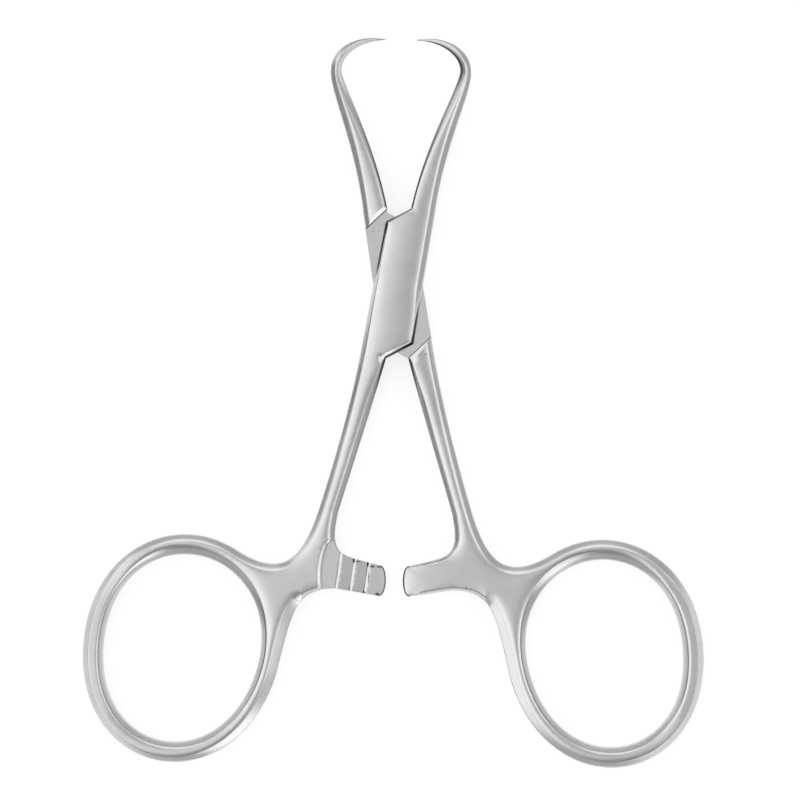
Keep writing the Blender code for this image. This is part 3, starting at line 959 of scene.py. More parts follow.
@dataclass(frozen=True)
class Grind:
    """How one jaw is ground.

    Attributes:
        outer: Outer edge strip, as a share of the hook's width.
        inner: Inner edge strip, likewise.
        outer_crest: Height where the outer strip meets the face.
        inner_crest: Height where the inner strip meets it.
        inner_painted_shade: How dark the hook's inner side is painted, as painted shade.
        tip_inner: Inner edge strip at the needle point.
        line: How dark the line between the blade's outer strip and its face is painted, as
            painted shade.
        hook_slope: Slope of the hook's inner strip.
    """

    outer: float
    inner: float
    outer_crest: float
    inner_crest: float
    inner_painted_shade: float
    tip_inner: float
    line: float
    hook_slope: float


@dataclass(frozen=True)
class Clamp:
    """Sizes that the towel clamp's halves and its pin share."""

    lock: Lock = Lock()
    jaw: Jaw = Jaw()
    shank: Shank = Shank()
    ring: Ring = Ring()
    ratchet: Ratchet = Ratchet()
    pin: Pin = Pin()


class HalfPlan:
    """Outline of one half, with its jaw on the right and its ring on the left.

    Attributes:
        CORNER_STEPS: Stations below the lock over which the cheek's edge style fades.
        CROTCH_STEPS: Points past the crotch over which its edge style fades.
        HOOK_FOOT: Share of the hook's inner strip that the side wall takes.
        JAW_SLOPES: Slopes of the jaw's strips and of its side walls.
        LINE_END: The painted dark line beside the blade's outer strip ends at 1 / LINE_END
            of its way.
        SHANK_STRIP: Width of the outer strip where the shank meets the lock.
        WAIST_STRIP: Width of the left edge's strip at the pivot.
        EDGE_SPACING: Distance between points on the lock's sides.
        END_SPACING: Distance between points on its ends.
        FILLET_SPACING: Distance between points on its fillet.
    """

    CORNER_STEPS = 28
    CROTCH_STEPS = 7
    HOOK_FOOT = 0.4
    JAW_SLOPES = (0.8, 1.6)
    LINE_END = 1.5
    SHANK_STRIP = 0.6
    WAIST_STRIP = 0.44
    EDGE_SPACING = 0.24
    END_SPACING = 0.2
    FILLET_SPACING = 0.12

    def __init__(self, clamp: Clamp, drop: float, grind: Grind) -> None:
        """Draw the outline.

        Args:
            clamp: Sizes of the clamp.
            drop: How far the lock body's upper end lies below the cheeks' upper end.
            grind: Edges of the jaw.
        """
        self.clamp = clamp
        self.drop = drop
        self.grind = grind
        self.blade = clamp.jaw.blade(clamp.lock)
        self.hook = clamp.jaw.hook()
        self.shank = clamp.shank.stations(clamp.lock)

    def spine(self) -> Spine:
        """Middle line with its half thicknesses, from the needle point to the web."""
        stations = self.hook[::-1] + self.blade[::-1][1:] + self.shank
        return Spine([item.place for item in stations], [item.half for item in stations])

    def jaw_styles(self, station: Station, hooked: bool) -> tuple[EdgeStyle, EdgeStyle]:
        """Edge styles at a station of the jaw.

        Args:
            station: The station.
            hooked: Whether it lies on the hook.

        Returns:
            Style of the outer edge, and of the inner one.
        """
        grind, share = self.grind, ease(station.share)
        strip = mix(grind.inner, grind.tip_inner, share) if hooked else grind.inner
        outer = replace(Edge.JAW_OUTER.value, strip=station.width * grind.outer,
                        crest=grind.outer_crest)
        inner = replace(Edge.JAW_INNER.value, strip=station.width * strip,
                        crest=grind.inner_crest)
        turn = 1.0 if hooked else ease(station.share * 2 - 1)
        # On the hook the inner wall is painted darker, as painted shade.
        inner = replace(inner, painted_shade=mix(inner.painted_shade, grind.inner_painted_shade, turn),
                        foot=mix(inner.foot, self.HOOK_FOOT, turn))
        if not hooked:
            # The painted dark line beside the blade's outer strip swells and fades along the
            # blade, as painted shade.
            bulge = math.sin(math.pi * min(1.0, station.share * self.LINE_END))
            outer = Edge.JAW_HEEL.value.blend(replace(outer, line=grind.line * bulge), share)
            inner = Edge.JAW_ROOT.value.blend(inner, share)
        facet, wall = self.JAW_SLOPES
        return (outer.sloped(station.half, facet, wall),
                inner.sloped(station.half, mix(facet, grind.hook_slope, turn), wall))

    def jaw_edge(self, sign: int) -> Chain:
        """One edge of the jaw.

        Args:
            sign: +1 for the outer edge, -1 for the inner one.

        Returns:
            The outer edge from the needle point down, or the inner one up to it.
        """
        chain = Chain()
        stations = [(item, False) for item in self.blade]
        stations += [(item, True) for item in self.hook[1:]]
        for item, hooked in (stations[::-1] if sign > 0 else stations):
            style = self.jaw_styles(item, hooked)[0 if sign > 0 else 1]
            chain.add([item.side(sign)], style, style)
        return chain

    def outer_chain(self) -> Chain:
        """Needle point, outer side of the jaw and right edge of the lock to its corner.

        Returns:
            The stretch of the outline.
        """
        lock, chain = self.clamp.lock, self.jaw_edge(1)
        waist, corner = lock.edge(1, 0.0), lock.edge(1, -lock.bottom)
        free = lock.edge(1, -lock.free[1])
        outer, cheek = Edge.LOCK_OUTER.value, Edge.CHEEK.value
        chain.add(straight(chain.points[-1], waist, self.EDGE_SPACING), chain.styles[-1],
                  outer)
        chain.add(straight(waist, free, self.EDGE_SPACING), outer, cheek)
        return chain.add(straight(free, corner, self.EDGE_SPACING), cheek, cheek)

    def cheek_foot(self) -> Chain:
        """End edge from the free lower corner to the shank."""
        corner = self.clamp.lock.edge(1, -self.clamp.lock.bottom)
        return Chain().add(straight(corner, self.shank[0].side(-1), self.END_SPACING),
                           Edge.CHEEK.value, Edge.CHEEK_FOOT.value)

    def inner_chain(self) -> Chain:
        """Inner side of the shank, fillet and upper side of the ratchet bar.

        Returns:
            The stretch of the outline.
        """
        bar = self.clamp.ratchet
        shank, top, tip = below(bar.shank), below(bar.top), below(bar.tip_top)
        along = (tip - top).normalized()
        fillet = curve(shank, shank - towards(bar.fillet_lean) * bar.fillet_pull[0],
                       top - along * bar.fillet_pull[1], top, bar.spacing)
        inner, corner = Edge.SHANK_INNER.value, Edge.CHEEK.value
        edge = [item.side(-1) for item in self.shank]
        chain = Chain().add(edge[:self.CORNER_STEPS], corner, inner)
        chain.add(edge[self.CORNER_STEPS:], inner, inner)
        chain.add(straight(edge[-1], shank, bar.spacing), inner, inner)
        chain.add([place for place, _ in fillet], inner, Edge.BAR.value)
        return chain.add(straight(top, tip, bar.spacing), Edge.BAR.value, Edge.BAR.value)

    def bar_tip(self) -> Chain:
        """Rounded end of the ratchet bar.

        Returns:
            The stretch of the outline.
        """
        bar = self.clamp.ratchet
        top, bottom = below(bar.tip_top), below(bar.tip_bottom)
        end = curve(top, top + Vector(bar.tip_pulls[0]), bottom + Vector(bar.tip_pulls[1]),
                    bottom, bar.spacing)
        return Chain().add([place for place, _ in end], Edge.BAR_TIP.value,
                           Edge.BAR_TIP.value)

    def ring_chain(self) -> Chain:
        """Lower side of the bar, round the ring, up the shank to the lock's free corner.

        Returns:
            The stretch of the outline.
        """
        lock, ring, bar = self.clamp.lock, self.clamp.ring, self.clamp.ratchet
        tip, bottom = below(bar.tip_bottom), below(bar.bottom)
        outside = ring.outside()
        crotch = curve(bottom, bottom - Vector((ring.crotch_pull[1], 0)),
                       outside[0][0] - ring.heading(ring.web_bottom) * ring.crotch_pull[0],
                       outside[0][0], ring.spacing)
        top = self.shank[-1].side(1)
        valley = curve(outside[-1][0],
                       outside[-1][0] + ring.heading(ring.web_top) * ring.valley_pull[0],
                       top - towards(self.clamp.shank.end_lean) * ring.valley_pull[1],
                       top, ring.spacing)
        slant, band = outside[0][1], outside[-1][1]
        outer = Edge.SHANK_OUTER.value
        chain = Chain().add(straight(tip, bottom, bar.spacing), Edge.BAR.value,
                            Edge.BAR.value)
        near = [place for place, _ in crotch if place.x > -ring.crotch_turn]
        far = [place for place, _ in crotch[len(near):]]
        chain.add(near, Edge.BAR.value, Edge.CROTCH.value)
        chain.add(far[:self.CROTCH_STEPS], Edge.CROTCH.value, slant)
        chain.add(far[self.CROTCH_STEPS:], slant, slant)
        for place, style in outside:
            chain.add([place], style, style)
        chain.add([place for place, _ in valley], band, outer)
        chain.add([item.side(1) for item in self.shank[::-1]], outer,
                  Edge.LOCK_OUTER.value.widened(self.SHANK_STRIP))
        waist, corner = lock.edge(-1, 0.0), lock.edge(-1, lock.top - self.drop)
        free, cheek = lock.edge(-1, lock.free[0]), Edge.CHEEK.value
        narrow = Edge.LOCK_OUTER.value.widened(self.WAIST_STRIP)
        chain.add(straight(chain.points[-1], waist, self.EDGE_SPACING), chain.styles[-1],
                  narrow)
        chain.add(straight(waist, free, self.EDGE_SPACING), narrow, cheek)
        return chain.add(straight(free, corner, self.EDGE_SPACING), cheek, cheek)

    def cheek_top(self) -> Chain:
        """End edge from the free upper corner to the jaw, filleted where it lies lower.

        Returns:
            The stretch of the outline.
        """
        lock, root = self.clamp.lock, self.blade[0].side(-1)
        corner = lock.edge(-1, lock.top - self.drop)
        style = Edge.CHEEK_TOP.value
        if not self.drop:
            return Chain().add(straight(corner, root, self.END_SPACING), style, style)
        foot = root - Vector((0, self.drop))
        slope = (corner - foot).normalized()
        start = foot + slope * lock.fillet
        fillet = curve(start, foot, foot, root, self.FILLET_SPACING)
        chain = Chain().add(straight(corner, start, self.END_SPACING), style, style)
        return chain.add([place for place, _ in fillet], style, style)

    def hole_chain(self) -> Chain:
        """Edge of the finger hole.

        Returns:
            The edge, anticlockwise and closed.
        """
        chain = Chain()
        for place, style in self.clamp.ring.hole():
            chain.add([place], style, style)
        return chain

    def chains(self) -> list[Chain]:
        """Stretches of the outline, clockwise; the hole isn't among them."""
        return [self.outer_chain(), self.cheek_foot(), self.inner_chain(), self.bar_tip(),
                self.ring_chain(), self.cheek_top(), self.jaw_edge(-1)]


def inside(points: np.ndarray, polygon: np.ndarray) -> np.ndarray:
    """Whether each point lies in a polygon.

    Args:
        points: Plan points.
        polygon: Corners of the polygon in order.

    Returns:
        One truth value for each point.
    """
    x, y = points[:, 0], points[:, 1]
    found = np.zeros(len(points), bool)
    for (x0, y0), (x1, y1) in zip(polygon, np.roll(polygon, -1, axis=0)):
        if y0 == y1:
            continue
        crosses = (y0 > y) != (y1 > y)
        found ^= crosses & (x < (x1 - x0) * (y - y0) / (y1 - y0) + x0)
    return found


def placed(name: str, data: bpy.types.ID) -> bpy.types.Object:
    """Object that shows a mesh or a camera.

    Args:
        name: Its name.
        data: The mesh or the camera.

    Returns:
        The object, linked to the scene.
    """
    item = bpy.data.objects.new(name, data)
    bpy.context.scene.collection.objects.link(item)
    return item


def solid(name: str, sections: Sequence[Sequence[Sequence[float]]]) -> bpy.types.Object:
    """Closed solid through sections of equal count, from one end to the other.

    Args:
        name: Name of the object.
        sections: Rings of points in mm.

    Returns:
        The object.
    """
    bm = bmesh.new()
    rings = [[bm.verts.new(Vector(point) * MM) for point in ring] for ring in sections]
    for ring in (rings[0], rings[-1]):
        bm.faces.new(ring)
    for one, other in zip(rings, rings[1:]):
        for i in range(len(one)):
            bm.faces.new((one[i - 1], one[i], other[i], other[i - 1]))
    bmesh.ops.recalc_face_normals(bm, faces=bm.faces)
    mesh = bpy.data.meshes.new(name)
    bm.to_mesh(mesh)
    bm.free()
    return placed(name, mesh)


def finished(item: bpy.types.Object, sharp: float) -> bpy.types.Object:
    """Shade a piece smooth except across its sharp edges.

    Args:
        item: The piece.
        sharp: Angle from which an edge is sharp, in degrees.

    Returns:
        The piece itself.
    """
    item.data.shade_smooth()
    item.data.set_sharp_from_angle(angle=math.radians(sharp))
    return item


class Blank:
    """Forged blank of one half as a fine closed mesh.

    Attributes:
        ROWS: Distances from the outline of the lines of points beside it, in strips.
        NEAREST: Share of a row's distance below which another edge is too near.
        MARGIN: Gap between the last row and the grid inside it, in strips.
        PITCH: Spacing of the grid, in mm.
        CELL: Least distance between points, in mm.
        WELD: Distance at which points of the plan are welded, in mm.
    """

    ROWS = (0.04, 0.09, 0.16, 0.26, 0.38, 0.52, 0.66, 0.78, 0.87, 0.94, 1.0, 1.06, 1.14,
            1.26, 1.45)
    NEAREST = 0.985
    MARGIN = 0.12
    PITCH = 0.36
    CELL = 0.05
    WELD = 1e-5

    def __init__(self, plan: HalfPlan, teeth_up: bool) -> None:
        """Prepare the fields of the blank.

        Args:
            plan: Outline of the half.
            teeth_up: Whether the ratchet's teeth are on the upper side.
        """
        self.plan = plan
        self.teeth_up = teeth_up
        self.chains = plan.chains()
        self.hole = plan.hole_chain()
        self.surface = Surface([*self.chains, self.hole], plan.spine(), plan.clamp.lock)

    def border(self) -> np.ndarray:
        """Corners of the outline.

        Returns:
            Plan points, clockwise.
        """
        points: list[Vector] = []
        for chain in self.chains:
            points += [point for point in chain.points
                       if not points or (point - points[-1]).length > SAME]
        if (points[0] - points[-1]).length < SAME:
            points.pop()
        return np.array([tuple(point) for point in points])

    def rows(self) -> np.ndarray:
        """Points on lines that follow the outline through the edge strip.

        Returns:
            Plan points.
        """
        found = []
        for chain in [*self.chains, self.hole]:
            points, styles = chain.arrays()
            inward = chain.inward()
            for row in self.ROWS:
                found.append(np.column_stack([points + inward * styles[:, :1] * row,
                                              np.full(len(points), row)]))
        rows = np.vstack(found)
        kept = self.surface.places(rows[:, :2]) > rows[:, 2] * self.NEAREST
        return rows[kept, :2]

    def grid(self, border: np.ndarray, hole: np.ndarray) -> np.ndarray:
        """Points of a triangular grid on the faces inside the strips.

        Args:
            border: Corners of the outline.
            hole: Corners of the finger hole.

        Returns:
            Plan points.
        """
        low, high = border.min(axis=0), border.max(axis=0)
        across = np.arange(low[0], high[0], self.PITCH)
        up = np.arange(low[1], high[1], self.PITCH * math.sqrt(3) / 2)
        x, y = np.meshgrid(across, up)
        x = x + (np.arange(len(up)) % 2)[:, None] * self.PITCH / 2
        points = np.column_stack([x.ravel(), y.ravel()])
        points = points[inside(points, border) & ~inside(points, hole)]
        return points[self.surface.places(points) > self.ROWS[-1] + self.MARGIN]

    def flat_mesh(self) -> tuple[np.ndarray, list[tuple[int, ...]]]:
        """Triangulated plan of the blank.

        Returns:
            Plan points and triangles, anticlockwise.
        """
        border = self.border()
        hole = self.hole.arrays()[0][:-1]
        fill = np.vstack([self.rows(), self.grid(border, hole)])
        _, first = np.unique(np.round(fill / self.CELL).astype(int), axis=0,
                             return_index=True)
        fill = fill[np.sort(first)]
        lines = [np.array(line) for line in self.plan.clamp.ratchet.lines()]
        _, _, gap = project(fill, np.vstack([line[:-1] for line in lines]),
                            np.vstack([line[1:] for line in lines]))
        points = np.vstack([border, hole, *lines, fill[gap > self.CELL]])
        start = len(border)
        edges = [(i, (i + 1) % start) for i in range(start)]
        edges += [(start + i, start + (i + 1) % len(hole)) for i in range(len(hole))]
        start += len(hole)
        for line in lines:
            edges += [(start + i, start + i + 1) for i in range(len(line) - 1)]
            start += len(line)
        places, _, faces, *_ = delaunay_2d_cdt([Vector(point) for point in points], edges,
                                               [], 0, self.WELD)
        plan = np.array([tuple(place) for place in places])
        faces = np.array(faces)
        middle = plan[faces].mean(axis=1)
        faces = faces[inside(middle, border) & ~inside(middle, hole)]
        used = np.unique(faces)
        renamed = np.full(len(plan), -1)
        renamed[used] = np.arange(len(used))
        return plan[used], [tuple(face) for face in renamed[faces]]

    def build(self, name: str, flip: bool) -> bpy.types.Object:
        """Closed mesh of the blank.

        Args:
            name: Name of the object.
            flip: Whether the half is mirrored, with its jaw on the left.

        Returns:
            The object, with its attribute `painted_shade` holding how dark shade is painted
            at each point.
        """
        plan, faces = self.flat_mesh()
        clamp, middle = self.plan.clamp, self.plan.clamp.lock.half
        rise, painted_shade = self.surface.heights(plan)
        cut = clamp.ratchet.milled(plan, rise)
        top, bottom = (cut, -rise) if self.teeth_up else (rise, -cut)
        side = -1 if flip else 1
        count = len(plan)
        places = np.vstack([np.column_stack([plan[:, 0] * side, plan[:, 1], middle + level])
                            for level in (top, bottom)])
        upper = [face if side > 0 else face[::-1] for face in faces]
        lower = [tuple(corner + count for corner in face[::-1]) for face in upper]
        sides = {(face[i], face[(i + 1) % 3]): None for face in upper for i in range(3)}
        walls = [(end, start, start + count, end + count) for start, end in sides
                 if (end, start) not in sides]
        mesh = bpy.data.meshes.new(name)
        mesh.from_pydata((places * MM).tolist(), [], upper + lower + walls)
        mesh.update()
        mesh.attributes.new("painted_shade", "FLOAT", "POINT").data.foreach_set(
            "value", np.concatenate([painted_shade, painted_shade]))
        item = placed(name, mesh)
        LOG.info("%s blank: %d points, %d faces", name, len(places), len(mesh.polygons))
        return item


@dataclass(frozen=True)
class Workshop:
    """Cutters, and the cuts that turn a blank into a half of the lock."""

    clamp: Clamp

    def spun(self, name: str, profile: Sequence[Pair]) -> bpy.types.Object:
        """Solid of revolution about the pivot.

        Args:
            name: Name of the object.
            profile: Radii and heights in mm, both ends on the axis.

        Returns:
            The object.
        """
        count = self.clamp.pin.segments
        rings = [[(radius * math.cos(math.tau * i / count),
                   radius * math.sin(math.tau * i / count), height) for i in range(count)]
                 for radius, height in profile[1:-1]]
        return solid(name, rings)

    def cut(self, target: bpy.types.Object, cutters: Sequence[bpy.types.Object]) -> None:
        """Take cutters away from a body for good, and drop them.

        Args:
            target: The body.
            cutters: Closed solids.
        """
        for cutter in cutters:
            step = target.modifiers.new(cutter.name, "BOOLEAN")
            step.operation, step.object, step.solver = "DIFFERENCE", cutter, "EXACT"
        bpy.context.view_layer.update()
        shaped = target.evaluated_get(bpy.context.evaluated_depsgraph_get())
        mesh = bpy.data.meshes.new_from_object(shaped)
        target.modifiers.clear()
        old, target.data = target.data, mesh
        bpy.data.meshes.remove(old)
        for cutter in cutters:
            bpy.data.objects.remove(cutter)

    def pushed(self, first: Vector, second: Vector) -> Span:
        """Line through two points, moved away from the pivot by the slot's clearance.

        Args:
            first: One point.
            second: The other.

        Returns:
            A point of the moved line, and its direction.
        """
        heading = (second - first).normalized()
        normal = Vector((heading.y, -heading.x))
        if normal.dot(first) < 0:
            normal = -normal
        return first + normal * self.clamp.lock.clearance, heading

    def slot_end(self, waist: Vector, corner: Vector, root: Vector) -> list[Vector]:
        """Walls of the slot at one end, clear of the tongue from closed to fully open.

        Args:
            waist: Side of the tongue at the pivot.
            corner: Free corner of the tongue.
            root: Root of the tongue's end edge.

        Returns:
            Four corners of the slot.
        """
        lock = self.clamp.lock
        closed = [turned(point, -lock.closing) for point in (waist, corner, root)]
        opened = [turned(point, lock.opening) for point in (waist, corner)]
        side = self.pushed(closed[0], closed[1])
        end = self.pushed(closed[1], closed[2])
        throat = self.pushed(opened[0], opened[1])
        throat_corner, wall_corner = self.meeting(throat, side), self.meeting(side, end)
        return [throat_corner - throat[1] * lock.reach, throat_corner, wall_corner,
                wall_corner + end[1] * lock.reach]

    def meeting(self, one: Span, other: Span) -> Vector:
        """Point where two plan lines cross."""
        share = (other[0] - one[0]).cross(other[1]) / one[1].cross(other[1])
        return one[0] + one[1] * share

    def slot(self, plan: HalfPlan) -> bpy.types.Object:
        """Cutter for the slot through the box.

        Args:
            plan: Outline of the box half.

        Returns:
            The cutter.
        """
        lock = self.clamp.lock
        upper = self.slot_end(mirrored(lock.edge(-1, 0)), mirrored(lock.edge(-1, lock.top)),
                              mirrored(plan.blade[0].side(-1)))
        lower = self.slot_end(mirrored(lock.edge(1, 0)),
                              mirrored(lock.edge(1, -lock.bottom)),
                              mirrored(plan.shank[0].side(-1)))
        half = lock.tongue / 2 + lock.play
        return solid("slot_cutter", [[(*corner, lock.half + level)
                                      for corner in upper + lower]
                                     for level in (-half, half)])

    def shoulders(self) -> tuple[list[Vector], Vector]:
        """Outer ends of the tongue's upper and lower shoulder, and their direction."""
        lock = self.clamp.lock
        return ([mirrored(lock.shoulder(1, lock.shoulder_top)),
                 mirrored(lock.shoulder(-1, lock.shoulder_bottom))],
                Vector((math.cos(lock.slope), math.sin(lock.slope))))

    def recesses(self) -> list[bpy.types.Object]:
        """Cutters that thin the tongue half from both faces and chamfer its shoulders.

        Returns:
            The cutters, with those of the creases.
        """
        lock = self.clamp.lock
        (upper, lower), along = self.shoulders()
        normal = Vector((-along.y, along.x))
        far = along * lock.cut_reach
        levels = ((lock.tongue / 2, 0.0), (lock.half - lock.chamfer, 0.0),
                  (lock.half + lock.overcut,
                   (lock.overcut + lock.chamfer) * lock.chamfer_slope))
        crease = ((-lock.crease, lock.crease_rim), (lock.crease, lock.crease_rim),
                  (0.0, -lock.crease_depth))
        cutters = []
        for side in (1, -1):
            sections = []
            for height, wider in levels:
                push = normal * wider
                corners = [upper - far + push, upper + far + push, lower + far - push,
                           lower - far - push]
                sections.append([(*corner, lock.half + side * height)
                                 for corner in corners])
            cutters.append(solid("recess_cutter", sections))
            floor = lock.half + side * lock.tongue / 2
            for place in (upper, lower):
                corners = [Vector((*(place + normal * shift), floor + side * height))
                           for shift, height in crease]
                ends = [[corner + Vector((*run, 0)) for corner in corners]
                        for run in (-far / 2, far / 2)]
                cutters.append(solid("crease_cutter", ends))
        return cutters

    def paint_crease_shade(self, item: bpy.types.Object) -> None:
        """Paint dark shade into the creases at the tongue's shoulders, as painted shade.

        Args:
            item: The tongue half, with its creases cut.
        """
        lock = self.clamp.lock
        places, along = self.shoulders()
        painted_shade = item.data.attributes["painted_shade"].data
        for vertex in item.data.vertices:
            point = vertex.co / MM
            depth = lock.tongue / 2 - abs(point.z - lock.half)
            near = min(abs((point.xy - place).cross(along)) for place in places)
            if near < lock.crease / 2 and lock.shade_paint < depth < 2 * lock.crease_depth:
                # Painted shade in the crease, where the real shade falls.
                painted_shade[vertex.index].value = 1.0


class Graph:
    """Nodes of one material, or of the world.

    Attributes:
        COLOUR_INPUTS: Places of a mix node's share and colours among its inputs.
        COLOUR_OUTPUT: Place of its colour among its outputs.
    """

    COLOUR_INPUTS = (0, 6, 7)
    COLOUR_OUTPUT = 2

    def __init__(self, tree: bpy.types.NodeTree) -> None:
        """Keep the node tree to write in."""
        self.tree = tree

    @property
    def shader(self) -> bpy.types.Node:
        """The material's shader."""
        return self.tree.nodes["Principled BSDF"]

    def feed(self, socket: Socket, value: object) -> None:
        """Set an input to a constant, or connect it to another node's output.

        Args:
            socket: The input.
            value: The constant or the output.
        """
        if isinstance(value, Socket):
            self.tree.links.new(value, socket)
        else:
            socket.default_value = value

    def node(self, kind: str, *inputs: object, **settings: object) -> bpy.types.Node:
        """Add a node.

        Args:
            kind: Blender's node type.
            *inputs: Values of its inputs in order.
            **settings: Properties of the node; a name in capitals sets that input.

        Returns:
            The node.
        """
        node = self.tree.nodes.new(kind)
        for key, value in settings.items():
            if key[0].isupper():
                self.feed(node.inputs[key.replace("_", " ")], value)
            else:
                setattr(node, key, value)
        for socket, value in zip(node.inputs, inputs):
            self.feed(socket, value)
        return node

    def math(self, operation: str, *values: object) -> Socket:
        """Output of a math node with its inputs given in order."""
        return self.node("ShaderNodeMath", *values, operation=operation).outputs[0]

    def vector(self, operation: str, *values: object) -> bpy.types.NodeOutputs:
        """Outputs of a vector math node with its inputs given in order."""
        return self.node("ShaderNodeVectorMath", *values, operation=operation).outputs

    def blend(self, share: object, one: object, other: object, kind: str = "MIX") -> Socket:
        """Mix two colours.

        Args:
            share: How much of the other colour shows.
            one: The first colour.
            other: The other colour.
            kind: Blender's blend type.

        Returns:
            Colour output.
        """
        node = self.node("ShaderNodeMix", data_type="RGBA", blend_type=kind)
        for index, value in zip(self.COLOUR_INPUTS, (share, one, other)):
            self.feed(node.inputs[index], value)
        return node.outputs[self.COLOUR_OUTPUT]

    def link(self, output: Socket, name: str) -> None:
        """Connect an output to the shader's input of that name."""
        self.tree.links.new(output, self.shader.inputs[name])


@dataclass(frozen=True)
class Grain:
    """Fine grinding marks.

    Attributes:
        across: Marks per mm across their run.
        along: Marks per mm along their run.
        detail: How many finer layers the marks have.
        harshness: Weight of the finer layers.
    """

    across: float = 7.0
    along: float = 0.6
    detail: float = 4.0
    harshness: float = 0.6

    def noise(self, graph: Graph, place: Socket, across_x: bool) -> Socket:
        """Noise stretched along one axis.

        Args:
            graph: Material to write in.
            place: Coordinates in m.
            across_x: Whether the marks lie side by side along X.

        Returns:
            Noise output.
        """
        fine, coarse = self.across / MM, self.along / MM
        scale = (fine, coarse, coarse) if across_x else (coarse, fine, coarse)
        lines = graph.node("ShaderNodeMapping", Vector=place, Scale=scale)
        return graph.node("ShaderNodeTexNoise", Vector=lines.outputs[0], Scale=1.0,
                          Detail=self.detail, Roughness=self.harshness).outputs["Fac"]


@dataclass(frozen=True)
class Pit:
    """Small dark pit or nick.

    Attributes:
        place: Its middle.
        radii: Its radius along X, Y and Z.
        dark: How dark it is.
        CORE: Share of its radius that is fully dark.
    """

    place: tuple[float, float, float]
    radii: tuple[float, float, float]
    dark: float
    CORE = 0.3

    def mask(self, graph: Graph, place: Socket) -> Socket:
        """Darkness of the pit over the surface.

        Args:
            graph: Material to write in.
            place: Coordinates in m.

        Returns:
            Mask output.
        """
        shift = graph.vector("SUBTRACT", place, Vector(self.place) * MM)
        ratio = graph.vector("DIVIDE", shift[0], Vector(self.radii) * MM)
        reach = graph.vector("LENGTH", ratio[0])
        spot = graph.node("ShaderNodeMapRange", Value=reach["Value"], From_Min=1.0,
                          From_Max=self.CORE, To_Max=self.dark,
                          interpolation_type="SMOOTHSTEP")
        return spot.outputs[0]


